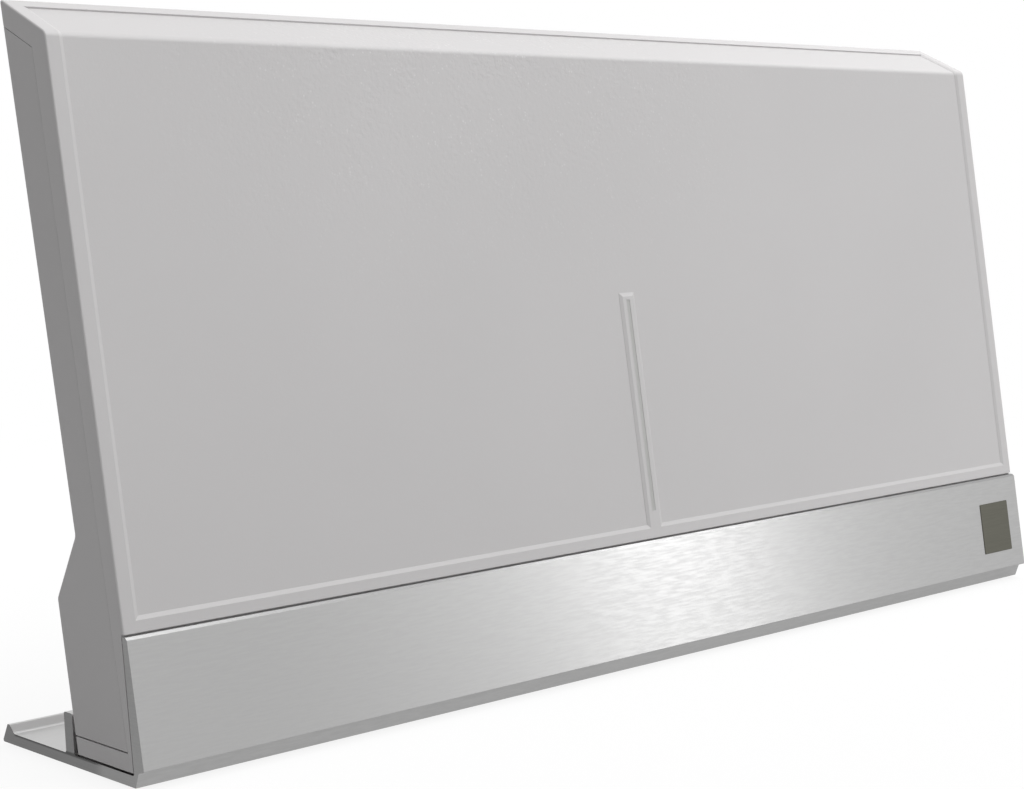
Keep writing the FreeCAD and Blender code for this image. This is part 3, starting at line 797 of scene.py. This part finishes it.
@dataclass(frozen=True)
class SawnExtrusion(BrushedMetal):
    """Extruded metal: brushed in front, paler and smoother behind, partly as painted reflection, and sawn off
    bare at both ends, which are darker partly as painted shade.

    Attributes:
        cut: Distance along X at which it is sawn off.
        cut_skin: Depths under the cut at which the sawn finish begins and is whole.
        cut_and_shade_tone: Shares of the colour that the sawn ends keep, in front and behind: partly a duller
            sawn face, partly painted shade.
        cut_rough: How much rougher the sawn ends are.
        satin_and_reflection: Places along Y between which the brushing gives way to a paler smooth finish,
            whose paleness is partly painted reflection.
        satin_and_reflection_tone: Share of the colour that this paler part has, lifted partly as painted
            reflection.
        base_top: Height of the base plate's top.
        lip_foot: Place along Y where the lip behind the base plate starts to rise.
        lip_slope: Rise of the lip's inner side per length.
        outline_band: Width of the dark band on the sawn ends under the edge of base plate and lip.
        outline_core: Share of that width over which it is darkest.
        outline_tone: Share of the sawn tone that the dark band keeps.
        saw: Distances between the saw's marks along X, Y and Z.
        saw_tone: Share by which these marks are darker.
    """

    cut: float = 0.0
    cut_skin: Span = (0.02 * MM, 0.01 * MM)
    cut_and_shade_tone: Span = (1.0, 1.0)
    cut_rough: float = 0.2
    satin_and_reflection: Span = (0.0, MM)
    satin_and_reflection_tone: float = 1.0
    base_top: float = 0.0
    lip_foot: float = 0.0
    lip_slope: float = 1.0
    outline_band: float = 0.5 * MM
    outline_core: float = 0.4
    outline_tone: float = 0.45
    saw: Point = (MM, 10.0 * MM, 0.25 * MM)
    saw_tone: float = 0.08

    def _outline_band(self, graph: Graph, place: Socket) -> Socket:
        """Mask that is 1 at the outline of base plate and lip: z against the height that rises with y.

        Args:
            graph: The material's graph.
            place: Places on the object.

        Returns:
            The mask.
        """
        y, z = (graph.dot(place, way.value) for way in (Way.DEPTH, Way.UP))
        run = graph.math("MAXIMUM", graph.math("SUBTRACT", y, self.lip_foot), 0.0)
        under = graph.math("SUBTRACT", graph.math("MULTIPLY_ADD", run, self.lip_slope, self.base_top), z)
        return graph.ramp(graph.math("ABSOLUTE", under), self.outline_core * self.outline_band, self.outline_band, 1.0, 0.0)

    def _layers(self, graph: Graph, place: Socket) -> tuple[Socket, Socket, Socket]:
        """Layers of the strokes, with the paler part behind and the darker sawn ends over them: paler partly
        as painted reflection, darker partly as painted shade.

        Args:
            graph: The material's graph.
            place: Places on the object.

        Returns:
            The colour, the roughness and the height.
        """
        colour, roughness, height = super()._layers(graph, place)
        reach = graph.math("ABSOLUTE", graph.dot(place, Way.ACROSS.value))
        sawn = graph.ramp(reach, *(self.cut - depth for depth in self.cut_skin))
        # Behind the front wall the colour turns paler and loses the strokes' tone: partly a smoother finish,
        # partly painted reflection.
        satin_and_reflection = graph.ramp(graph.dot(place, Way.DEPTH.value), *self.satin_and_reflection)
        colour = graph.blend(satin_and_reflection, colour, toned(self.colour, self.satin_and_reflection_tone))
        marks = graph.group(EFFECTS.brush, Vector=graph.scaled(place, tuple(1.0 / step for step in self.saw)))
        # Sawn ends are darker: partly a duller sawn face, partly painted shade.
        bare = graph.blend(satin_and_reflection, *(toned(self.colour, tone) for tone in self.cut_and_shade_tone))
        # A dark band along the sawn ends under the outline of base plate and lip, and darker saw marks.
        dark = graph.math("MAXIMUM", graph.product(self._outline_band(graph, place), satin_and_reflection, 1.0 - self.outline_tone),
                          graph.product(marks.outputs["Tone"], self.saw_tone))
        colour = graph.blend(sawn, colour, graph.blend(dark, bare, BLACK))
        roughness = graph.math("MULTIPLY_ADD", sawn, self.cut_rough, roughness)
        kept = graph.product(height, graph.math("SUBTRACT", 1.0, sawn))
        return colour, roughness, graph.math("MULTIPLY_ADD", marks.outputs["Height"], sawn, kept)


@dataclass(frozen=True)
class TurnedMetal:
    """Plated metal with fine rings left by turning about an axis.

    Attributes:
        name: Name of the material.
        colour: Base colour.
        roughness: Roughness of its surface.
        axis: Direction of the turning axis.
        pitch: Distance between rings.
        relief: Height of the rings.
        clouds: How many clouds of tarnish a metre has.
        tarnish: Share of the colour that tarnish leaves.
        dulling: How much rougher tarnish is.
    """

    name: str
    colour: Colour
    roughness: float
    axis: Point
    pitch: float = 0.12 * MM
    relief: float = 0.002 * MM
    clouds: float = 180.0
    tarnish: float = 0.9
    dulling: float = 0.08

    def material(self) -> Material:
        """Build the material: rings from the distance along the axis, and a slow drift of tarnish.

        Returns:
            The material.
        """
        material, graph, shader = shade(self.name)
        place = graph.place()
        along = graph.math("DIVIDE", graph.dot(place, self.axis), self.pitch)
        rings = graph.wire(graph.add("ShaderNodeTexNoise", noise_dimensions="1D"), W=along, Scale=1.0)
        drift = drift_over(graph, place, self.clouds)
        graph.wire(shader, Base_Color=graph.blend(drift, toned(self.colour, self.tarnish), self.colour),
                   Roughness=graph.between(drift, self.roughness + self.dulling, self.roughness),
                   Normal=graph.bump(rings.outputs["Fac"], self.relief), Metallic=1.0)
        return material


@dataclass(frozen=True)
class LightPipe:
    """Clear plastic with a frosted skin that spreads the lamp's light.

    Attributes:
        name: Name of the material.
        colour: Base colour.
        roughness: Roughness of its surface.
        transmission: Share of light that goes through.
        frost: Size of the frosting.
        relief: Height of the frosting.
        clouds: How many clouds of milky tone a metre has.
        milk: Share of the colour where it is darkest.
        vary: How far the roughness rises with the tone.
        bending: Index at which it bends light.
    """

    name: str
    colour: Colour
    roughness: float
    transmission: float
    frost: float = 0.12 * MM
    relief: float = 0.002 * MM
    clouds: float = 60.0
    milk: float = 0.96
    vary: float = 0.05
    bending: float = 1.49

    def material(self) -> Material:
        """Build the material: milky, with fine frosting in the normal.

        Returns:
            The material.
        """
        material, graph, shader = shade(self.name)
        place = graph.place()
        frost = graph.group(EFFECTS.grain, Vector=place, Scale=1.0 / self.frost)
        drift = drift_over(graph, place, self.clouds)
        graph.wire(shader, Base_Color=graph.blend(drift, toned(self.colour, self.milk), self.colour),
                   Roughness=graph.between(drift, self.roughness, self.roughness + self.vary),
                   Normal=graph.bump(frost.outputs["Height"], self.relief),
                   Transmission_Weight=self.transmission, IOR=self.bending)
        return material


@dataclass(frozen=True)
class Laminate:
    """Circuit board: solder mask over a pattern of tracks.

    Attributes:
        name: Name of the material.
        mask: Colour of the solder mask.
        track: Colour of the mask over a track.
        cell: Size of the pattern.
        offset: Share of a cell by which every other row is moved.
        gap: Width of a track in cells.
        relief: Height of a track.
        clouds: How many clouds of the mask's tone a metre has.
        mask_least: Share of the mask's colour where it is darkest.
        gloss: Roughness where the mask is darkest and where it is palest.
    """

    name: str
    mask: Colour
    track: Colour
    cell: float = 2.4 * MM
    offset: float = 0.35
    gap: float = 0.06
    relief: float = 0.02 * MM
    clouds: float = 90.0
    mask_least: float = 0.85
    gloss: Span = (0.28, 0.36)

    def material(self) -> Material:
        """Build the material: brick courses for the tracks, drift in the mask.

        Returns:
            The material.
        """
        material, graph, shader = shade(self.name)
        place = graph.place()
        bricks = graph.add("ShaderNodeTexBrick", offset=self.offset)
        graph.wire(bricks, Vector=graph.scaled(place, (1.0, 0.0, 1.0)), Scale=1.0 / self.cell,
                   Mortar_Size=self.gap)
        tracks = bricks.outputs["Fac"]
        drift = drift_over(graph, place, self.clouds)
        mask = graph.blend(drift, toned(self.mask, self.mask_least), self.mask)
        graph.wire(shader, Base_Color=graph.blend(tracks, mask, self.track),
                   Roughness=graph.between(drift, *self.gloss), Normal=graph.bump(tracks, self.relief))
        return material


@dataclass(frozen=True)
class FlatHeadScrew:
    """A countersunk screw with a cross drive.

    Attributes:
        head_depth: Depth of the head's cone.
        drive_reach: Length of one arm of the drive.
        drive_blade: Half the width of an arm at the face.
        drive_depth: Depth of the drive.
        drive_floor: Share of an arm's reach and blade over which it has its full depth.
        rim_share: Share of the head's radius at the foot of its rim.
        rim_depth: Depth of the rim.
        turns: Points round the screw.
        rings: Rings on the head's face.
    """

    head_depth: float = 1.3 * MM
    drive_reach: float = 1.45 * MM
    drive_blade: float = 0.34 * MM
    drive_depth: float = 1.0 * MM
    drive_floor: float = 0.55
    rim_share: float = 0.995
    rim_depth: float = 0.03 * MM
    turns: int = 96
    rings: int = 40

    def grid(self, face: np.ndarray, axis: np.ndarray, head: float, shank: float,
             length: float) -> np.ndarray:
        """Points of one screw.

        Rings run out over the head's face to its rim, down its cone to the shank, and along the shank to the
        tip. On the face, a point lies deeper the further it is inside the cross: the depth falls from
        drive_depth along the middle of an arm to nothing at its edge and its end.

        Args:
            face: Middle of the head's face.
            axis: Unit direction from the tip to the face.
            head: Radius of the head.
            shank: Radius of the shank.
            length: Length from the face to the tip.

        Returns:
            A grid of points with a pole at both ends.
        """
        first, second = frame_axes(axis)
        turn = full_turn(self.turns)
        past_face = (head * self.rim_share, shank, shank, 0.0)
        radius = np.concatenate((np.linspace(0.0, head, self.rings), past_face))
        down = np.concatenate((np.zeros(self.rings), (self.rim_depth, self.head_depth, length, length)))
        x = radius[:, None] * np.cos(turn)
        y = radius[:, None] * np.sin(turn)
        arms = np.maximum(self._arm(x, y), self._arm(y, x))
        on_face = (np.arange(len(radius)) < self.rings)[:, None]
        drop = down[:, None] + np.where(on_face, arms * self.drive_depth, 0.0)
        return face + x[..., None] * first + y[..., None] * second - drop[..., None] * axis

    def _arm(self, along: np.ndarray, across: np.ndarray) -> np.ndarray:
        """Share of the drive's depth in an arm along one direction.

        Args:
            along: Distance from the middle along the arm.
            across: Distance across it.

        Returns:
            The share at each point: 1 on the arm's floor, falling to 0 at its edge and its end.
        """
        side = 1.0 - smooth_step(np.abs(across), self.drive_blade * self.drive_floor, self.drive_blade)
        end = 1.0 - smooth_step(np.abs(along), self.drive_reach * self.drive_floor, self.drive_reach)
        return side * end


@dataclass(frozen=True)
class ScrewSet:
    """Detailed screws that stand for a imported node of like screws, which has two across.

    Attributes:
        node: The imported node.
        axis: Unit direction from a screw's tip to its head.
        screw: The screw's form.
        rows: How many rows of screws it has, one or two.
        crease: Angle in degrees over which an edge stays sharp.
    """

    node: str
    axis: np.ndarray
    screw: FlatHeadScrew
    rows: int
    crease: float = 24.0

    def build(self, material: Material, slot: str) -> None:
        """Find each screw in the node, by its side of the middle and its row, and model it.

        Args:
            material: Material of the screws.
            slot: The record's material slot; not used.
        """
        points = vertices(self.node)
        first, second = frame_axes(self.axis)
        level = points @ second
        middle = (level.min() + level.max()) / 2.0
        grids = []
        for side in (-1, 1):
            for row in ((-1, 1) if self.rows > 1 else (0,)):
                mine = (np.sign(points @ first) == side) & ((row == 0) | (np.sign(level - middle) == row))
                grids.append(self._one(points[mine], first, second))
        piece = surface(f"{self.node}_driven", grids, Seal.COLUMNS, self.crease)
        adopt(piece, material, (self.node,))

    def _one(self, points: np.ndarray, first: np.ndarray, second: np.ndarray) -> np.ndarray:
        """Grid of the screw that holds these points.

        Args:
            points: The plain screw's points.
            first: Unit direction across the screws.
            second: Unit direction square to that and to the axis.

        Returns:
            The detailed screw's points.
        """
        x, y, along = points @ first, points @ second, points @ self.axis
        centre = ((x.min() + x.max()) / 2.0, (y.min() + y.max()) / 2.0)
        reach = np.hypot(x - centre[0], y - centre[1])
        top, tip = along.max(), along.min()
        face = first * centre[0] + second * centre[1] + self.axis * top
        shank = reach[along < tip + HAIR].max()
        return self.screw.grid(face, self.axis, reach.max(), shank, top - tip)


@dataclass(frozen=True)
class Stand:
    """Aluminium stand with its foot pads, its screws and the bare plate at the right of its front.

    Attributes:
        plate_width: Width of the plate.
        plate_height: Height of the plate.
        plate_thickness: How far the plate stands off the aluminium.
        plate_end: Gap between the plate and the stand's end.
        plate_foot: Height of the plate's lower edge over the nose, up the front.
        plate_corner: Radius of the plate's corners.
        plate_edge: Width of the plate's bevel.
        plate_turns: Points round the plate.
        base_thickness: Thickness of the base plate.
        lip_reach: Depth of the lip behind the base plate.
    """

    plate_width: float = 13.2 * MM
    plate_height: float = 13.9 * MM
    plate_thickness: float = 0.15 * MM
    plate_end: float = 5.4 * MM
    plate_foot: float = 4.7 * MM
    plate_corner: float = 0.25 * MM
    plate_edge: float = 0.08 * MM
    plate_turns: int = 64
    base_thickness: float = 2.3 * MM
    lip_reach: float = 4.4 * MM

    def build(self, panel: Panel) -> None:
        """Dress the stand and add its plate and screws.

        Args:
            panel: The panel's plane.
        """
        low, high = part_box("stand_extrusion")
        # The aluminium's paler part behind is partly painted reflection, and its darker sawn ends are partly
        # painted shade.
        aluminium = SawnExtrusion("brushed_aluminium", (0.374, 0.373, 0.372), 0.3, stroke=5.0 * MM,
                                  pitch=0.45 * MM, relief=0.0008 * MM, contrast=0.028, vary=0.024,
                                  anisotropy=0.9, edge_gloss=0.75, cut=high.x, cut_and_shade_tone=(0.82, 0.62),
                                  satin_and_reflection=(-12.0 * MM, -8.0 * MM), satin_and_reflection_tone=1.85,
                                  base_top=low.z + self.base_thickness, lip_foot=high.y - self.lip_reach)
        dress(["stand_extrusion"], aluminium.material())
        rubber = Moulding("foot_rubber", (0.03, 0.03, 0.03), 0.75, grain=0.5 * MM, relief=0.02 * MM)
        dress([node for node in frame["nodes"] if node.startswith("foot_pad")], rubber.material())
        zinc = TurnedMetal("zinc_plate", (0.55, 0.55, 0.54), 0.32, Way.UP.value)
        screws = ScrewSet("stand_screws", -Way.UP.vector, FlatHeadScrew(head_depth=1.4 * MM), rows=1)
        screws.build(zinc.material(), "zinc_screw")
        dark = BrushedMetal("dark_anodised_plate", (0.088, 0.086, 0.07), 0.38, contrast=0.04)
        adopt(self._plate(panel), dark.material())

    def _plate(self, panel: Panel) -> bpy.types.Object:
        """Plain plate: a rounded rectangle carried from the aluminium's front up over a bevelled edge.

        A rounded rectangle of half sides a and b and corner radius c is a rectangle of half sides a - c and
        b - c, whose points move out by c along the direction of a circle. Its first and last ring are poles
        in the middle of its back and its face.

        Args:
            panel: The panel's plane, whose lean the aluminium's front shares.

        Returns:
            The plate's object.
        """
        points = vertices("stand_extrusion")
        face = (points @ panel.normal).min()
        front = points[points @ panel.normal < face + HAIR]
        low = (front @ panel.rise).min() + self.plate_foot
        half = np.array((self.plate_width, self.plate_height)) / 2.0
        middle = np.array((points[:, 0].max() - self.plate_end, low)) + half * (-1.0, 1.0)
        turn = full_turn(self.plate_turns) + math.pi / self.plate_turns
        circle = np.stack((np.cos(turn), np.sin(turn)), axis=-1)
        square = np.sign(circle) * (half - self.plate_corner)
        pole = np.zeros_like(circle)
        rows = [(pole, 0.0)]
        for inset, height in ((0.0, 0.0), (0.0, self.plate_thickness - self.plate_edge),
                              (self.plate_edge, self.plate_thickness)):
            rows.append((square - np.sign(circle) * inset + circle * self.plate_corner, height))
        rows.append((pole, self.plate_thickness))
        flat = np.stack([ring + middle for ring, _ in rows])
        lift = np.array([height for _, height in rows])[:, None, None]
        grid = flat[..., :1] * Way.ACROSS.vector + flat[..., 1:] * panel.rise + (face - lift) * panel.normal
        return surface("bare_plate", [grid], Seal.COLUMNS)


@dataclass(frozen=True)
class Housing:
    """Front and rear covers with their screws.

    Attributes:
        border_side: Width of the smooth border at each end.
        border_lower: Height of the lower border.
        border_rear: Depth of the smooth border along the top's rear edge.
        tongue_width: Width of the tongue.
        tongue_top: Height of the tongue's top up the panel.
        silver: Colour of both covers.
    """

    border_side: float = 3.9 * MM
    border_lower: float = 3.1 * MM
    border_rear: float = 3.35 * MM
    tongue_width: float = 5.2 * MM
    tongue_top: float = 58.1 * MM
    silver: Colour = (0.6, 0.588, 0.59)

    def build(self, panel: Panel) -> None:
        """Dress both covers and add the driven screws.

        Args:
            panel: The panel's plane.
        """
        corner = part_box("front_cover")[1]
        front = PanelMoulding("silver_front", self.silver, 0.42, drift=0.015, panel=panel,
                              half_field=corner.x - self.border_side, border_lower=self.border_lower,
                              half_tongue=self.tongue_width / 2.0, tongue_top=self.tongue_top,
                              field_rear=corner.y - self.border_rear)
        dress(["front_cover"], front.material())
        rear = Moulding("silver_rear", self.silver, 0.48, grain=0.4 * MM, relief=0.012 * MM, drift=0.012)
        dress(["rear_cover"], rear.material())
        zinc = TurnedMetal("zinc_cover_screw", (0.55, 0.55, 0.54), 0.32, tuple(panel.normal))
        screws = ScrewSet("cover_screws", panel.normal, FlatHeadScrew(), rows=2)
        screws.build(zinc.material(), "zinc_screw")


@dataclass(frozen=True)
class Lamp:
    """Light guide and the lamp behind it."""

    def build(self) -> None:
        """Dress the guide and the lamp."""
        dress(["light_guide"], LightPipe("frosted_guide", (0.57, 0.57, 0.555), 0.45, 0.15).material())
        dress(["status_lamp"], LightPipe("lamp_resin", (0.9, 0.9, 0.8), 0.2, 0.6).material())


@dataclass(frozen=True)
class Receiver:
    """Antenna plates, amplifier board and the parts on it, closed in the housing."""

    def build(self) -> None:
        """Dress the inner pieces."""
        tinned = BrushedMetal("tinned_sheet", (0.62, 0.62, 0.6), 0.35, stroke=20.0 * MM, relief=0.002 * MM)
        dress(["left_antenna_plate", "right_antenna_plate", "shield_frame", "shield_lid"], tinned.material())
        board = Laminate("green_board", (0.02, 0.14, 0.06), (0.06, 0.26, 0.12))
        dress(["amplifier_board"], board.material())
        resin = Moulding("black_resin", (0.02, 0.02, 0.021), 0.5, grain=0.2 * MM)
        dress(["amplifier_chip", "regulator_chip"], resin.material())
        ferrite = Moulding("grey_ferrite", (0.05, 0.05, 0.052), 0.7, grain=0.25 * MM, relief=0.02 * MM)
        dress(["balun_core"], ferrite.material())
        can = BrushedMetal("drawn_can", (0.55, 0.55, 0.57), 0.3, Way.DEPTH, stroke=8.0 * MM)
        dress(["filter_capacitor"], can.material())


@dataclass(frozen=True)
class CoaxSocket:
    """Threaded F-type socket with its nut and washer.

    Attributes:
        pitch: Distance between the thread's turns.
        thread: Depth of the thread.
        relief_width: Width of the groove behind the thread.
        relief_depth: Depth of that groove.
        lead_in: Size of the bevel at the mouth.
        base_reach: Reach from the axis, in radii of the thread, past which a point is on the square base.
        turns: Points round the axis.
        steps: Rings in one turn of the thread.
    """

    pitch: float = 25.4 * MM / 32.0
    thread: float = 0.42 * MM
    relief_width: float = 0.5 * MM
    relief_depth: float = 0.35 * MM
    lead_in: float = 0.6 * MM
    base_reach: float = 1.2
    turns: int = 96
    steps: int = 14

    def build(self) -> None:
        """Model the threaded barrel and dress the socket."""
        socket = mount("coax_socket")
        axis = np.array(socket["axis"], float)
        nickel = TurnedMetal("nickel_plate", (0.52, 0.5, 0.465), 0.24, tuple(axis)).material()
        barrel = surface("coax_barrel_threaded", [self._barrel(socket, axis)], Seal.BOTH)
        adopt(barrel, nickel, ("coax_barrel",))
        dress(["coax_nut", "coax_washer"], nickel)
        white = Moulding("white_insulator", (0.78, 0.78, 0.75), 0.45, grain=0.3 * MM)
        dress(["coax_insulator"], white.material())
        brass = TurnedMetal("contact_brass", (0.7, 0.52, 0.25), 0.25, tuple(axis))
        dress(["coax_contact"], brass.material())

    def _barrel(self, socket: dict, axis: np.ndarray) -> np.ndarray:
        """Closed section carried round the socket's axis, from the base over the thread and back by the bore.

        At distance s along the axis and angle t, the radius is the thread's outer radius less its depth times
        a triangle wave of s / pitch - t / (2 pi), which makes one helix. The wave fades out over the first
        and last turn. Over the square base, the radius is the square's half side divided by the larger of
        |cos t| and |sin t|.

        Args:
            socket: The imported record's mount of the socket.
            axis: Unit direction out of the socket.

        Returns:
            A grid of points whose rows and columns both join up.
        """
        origin = np.array(socket["pos_m"], float)
        radius = socket["dims"]["r_mm"] * MM
        half = socket["dims"]["length_mm"] * MM / 2.0
        points = vertices("coax_barrel") - origin
        along = points @ axis
        reach = np.linalg.norm(points - along[:, None] * axis, axis=1)
        start, tip = along.min(), along.max()
        shoulder = along[reach > radius * self.base_reach].max()
        side = reach.max() / math.sqrt(2.0)
        rows = np.arange(-half, half, self.pitch / self.steps)
        turn = full_turn(self.turns)
        wave = np.abs(2.0 * np.mod(rows[:, None] / self.pitch - turn / (2.0 * math.pi), 1.0) - 1.0)
        fade_in = smooth_step(rows, -half, -half + self.pitch)
        fade = fade_in * (1.0 - smooth_step(rows, half - self.pitch, half))
        threaded = radius - self.thread * wave * fade[:, None]
        square = side / np.maximum(np.abs(np.cos(turn)), np.abs(np.sin(turn)))
        even = np.ones_like(turn)
        outer, bore = even * radius, even * reach.min()
        sunk, mouth = even * (radius - self.relief_depth), even * (radius - self.lead_in)
        groove = -half - self.relief_width
        before = [(start, square), (shoulder, square), (shoulder, outer), (groove, outer), (groove, sunk),
                  (-half, sunk)]
        after = [(half, outer), (tip, mouth), (tip, bore), (start, bore)]
        distance = np.concatenate(([s for s, _ in before], rows, [s for s, _ in after]))
        ring = np.concatenate(([r for _, r in before], threaded, [r for _, r in after]))
        first, second = frame_axes(axis)
        round_way = np.cos(turn)[:, None] * first + np.sin(turn)[:, None] * second
        return origin + distance[:, None, None] * axis + ring[..., None] * round_way


@dataclass(frozen=True)
class PowerJack:
    """Barrel jack for the supply's plug."""

    def build(self) -> None:
        """Dress the jack's body, pin and spring."""
        body = Moulding("black_jack", (0.018, 0.018, 0.019), 0.4, grain=0.25 * MM)
        dress(["power_jack_body"], body.material())
        axis = tuple(mount("power_jack")["axis"])
        dress(["power_jack_pin"], TurnedMetal("jack_pin_plate", (0.66, 0.64, 0.6), 0.2, axis).material())
        dress(["power_jack_spring"], TurnedMetal("spring_brass", (0.7, 0.52, 0.25), 0.3, axis).material())


@dataclass(frozen=True)
class Softbox:
    """A soft studio lamp.

    Attributes:
        name: Name of the lamp.
        place: Where it stands.
        target: What it points at.
        size: Its width and height.
        watts: Its power.
        mirrored: Whether it shows in gloss, or only lights.
    """

    name: str
    place: Point
    target: Point
    size: Span
    watts: float
    mirrored: bool = True

    def build(self) -> None:
        """Add the lamp, turned to its target."""
        light = bpy.data.lights.new(self.name, "AREA")
        light.shape = "RECTANGLE"
        light.size, light.size_y = self.size
        light.energy = self.watts
        lamp = in_scene(self.name, light)
        lamp.visible_glossy = self.mirrored
        lamp.location = self.place
        aim = Vector(self.target) - Vector(self.place)
        lamp.rotation_euler = aim.to_track_quat("-Z", "Y").to_euler()


@dataclass(frozen=True)
class Studio:
    """White floor, soft lamps, even surroundings and the photograph's viewpoint.

    Attributes:
        place: Where the camera stands.
        yaw: How far it is turned from +Y towards +X, in degrees.
        pitch: How far it looks up, in degrees.
        focal: Focal length in pixels of the image.
        centre: Pixel that the lens's axis meets.
        image: Width and height of the image in pixels.
        sensor: Width of the sensor in millimetres.
        nearest: Distance from which the camera sees.
        fill: Strength of the surroundings' light.
        floor_half: Half the floor's side.
        floor_seen: Lightness of the floor where it is seen.
        floor_bounce: Lightness of the floor for the light that it throws back on the object.
        floor_share: Share of plain white in the floor near the object.
        floor_clear: Distances from the object at which that share starts to rise and is whole.
        lamps: The soft lamps.
    """

    place: Point = (-0.37506, -0.35669, 0.11967)
    yaw: float = 44.617
    pitch: float = -8.863
    focal: float = 2161.0
    centre: Span = (529.7, 490.1)
    image: tuple[int, int] = (1024, 789)
    sensor: float = 36.0
    nearest: float = 0.01
    fill: float = 0.3
    floor_half: float = 6.0
    floor_seen: float = 0.93
    floor_bounce: float = 0.35
    floor_share: float = 0.86
    floor_clear: Span = (0.1, 0.5)
    lamps: tuple[Softbox, ...] = (
        Softbox("overhead", (0.25, -0.55, 1.4), (0.0, 0.0, 0.08), (1.2, 1.6), 19.3),
        Softbox("right_strip", (1.047, -0.957, 0.42), (0.0, 0.0, 0.05), (0.15, 0.8), 1.55),
        Softbox("right_wide", (1.1, -0.894, 0.42), (0.0, 0.0, 0.05), (0.75, 0.8), 0.8),
        Softbox("right_high", (1.1, 0.066, 1.05), (0.0, 0.0, 0.05), (0.7, 0.25), 2.0),
        Softbox("rear", (0.2, 1.5, 0.85), (0.0, 0.0, 0.06), (1.0, 1.0), 13.0, mirrored=False),
    )

    def build(self) -> None:
        """Set up floor, lamps, surroundings, camera and the plain view transform."""
        bpy.context.scene.view_settings.view_transform = "Standard"
        self._floor()
        for lamp in self.lamps:
            lamp.build()
        self._surroundings()
        self._camera()

    def _seen(self, graph: Graph) -> Socket:
        """1 for rays that show the background: from the camera, and in metal and glass.

        Args:
            graph: The material's graph.

        Returns:
            The mask of these rays.
        """
        path = graph.add("ShaderNodeLightPath")
        shown = graph.math("MAXIMUM", path.outputs["Is Camera Ray"], path.outputs["Is Glossy Ray"])
        return graph.math("MAXIMUM", shown, path.outputs["Is Transmission Ray"])

    def _floor(self) -> None:
        """Pale floor that looks nearly white and keeps the object's shadow."""
        corners = np.array(((-1, -1, 0), (1, -1, 0), (1, 1, 0), (-1, 1, 0)), float) * self.floor_half
        mesh = bpy.data.meshes.new("floor")
        mesh.from_pydata(corners.tolist(), [], [(0, 1, 2, 3)])
        material = bpy.data.materials.new("pale_floor")
        graph = Graph.fresh(material)
        seen = self._seen(graph)
        tone = graph.between(seen, self.floor_bounce, self.floor_seen)
        matt = graph.wire(graph.add("ShaderNodeBsdfDiffuse"), Color=tone)
        white = graph.add("ShaderNodeEmission")
        away = graph.add("ShaderNodeVectorMath", operation="LENGTH")
        graph.feed(away.inputs[0], graph.place())
        share = graph.ramp(away.outputs["Value"], *self.floor_clear, self.floor_share, 1.0)
        mix = graph.add("ShaderNodeMixShader")
        sources = graph.product(seen, share), matt.outputs[0], white.outputs[0]
        for socket, source in zip(mix.inputs, sources):
            graph.feed(socket, source)
        graph.wire(graph.add("ShaderNodeOutputMaterial"), Surface=mix.outputs[0])
        mesh.materials.append(material)
        in_scene("floor", mesh)

    def _surroundings(self) -> None:
        """Even light from all round, which looks white where it is seen."""
        world = bpy.data.worlds.new("studio")
        graph = Graph.fresh(world)
        strength = graph.add("ShaderNodeMapRange")
        graph.wire(strength, Value=self._seen(graph), To_Min=self.fill, To_Max=1.0)
        back = graph.add("ShaderNodeBackground")
        graph.wire(back, Strength=strength.outputs["Result"], Color=WHITE)
        graph.wire(graph.add("ShaderNodeOutputWorld"), Surface=back.outputs[0])
        bpy.context.scene.world = world

    def _camera(self) -> None:
        """Camera at the photograph's viewpoint, with the shift that its framing needs."""
        width, height = self.image
        lens = bpy.data.cameras.new("photo_view")
        lens.sensor_fit = "HORIZONTAL"
        lens.sensor_width = self.sensor
        lens.lens = self.focal / width * self.sensor
        lens.shift_x = (width / 2.0 - self.centre[0]) / width
        lens.shift_y = (self.centre[1] - height / 2.0) / width
        lens.clip_start = self.nearest
        camera = in_scene("photo_view", lens)
        camera.location = self.place
        camera.rotation_euler = (math.radians(90.0 + self.pitch), 0.0, math.radians(-self.yaw))
        bpy.context.scene.camera = camera


def main() -> None:
    """Build and dress every sub-assembly, then the studio."""
    logging.basicConfig(level=logging.INFO, format="%(name)s: %(message)s")
    panel = Panel.from_frame()
    Stand().build(panel)
    Housing().build(panel)
    Lamp().build()
    Receiver().build()
    CoaxSocket().build()
    PowerJack().build()
    Studio().build()


if __name__ == "__main__":
    main()
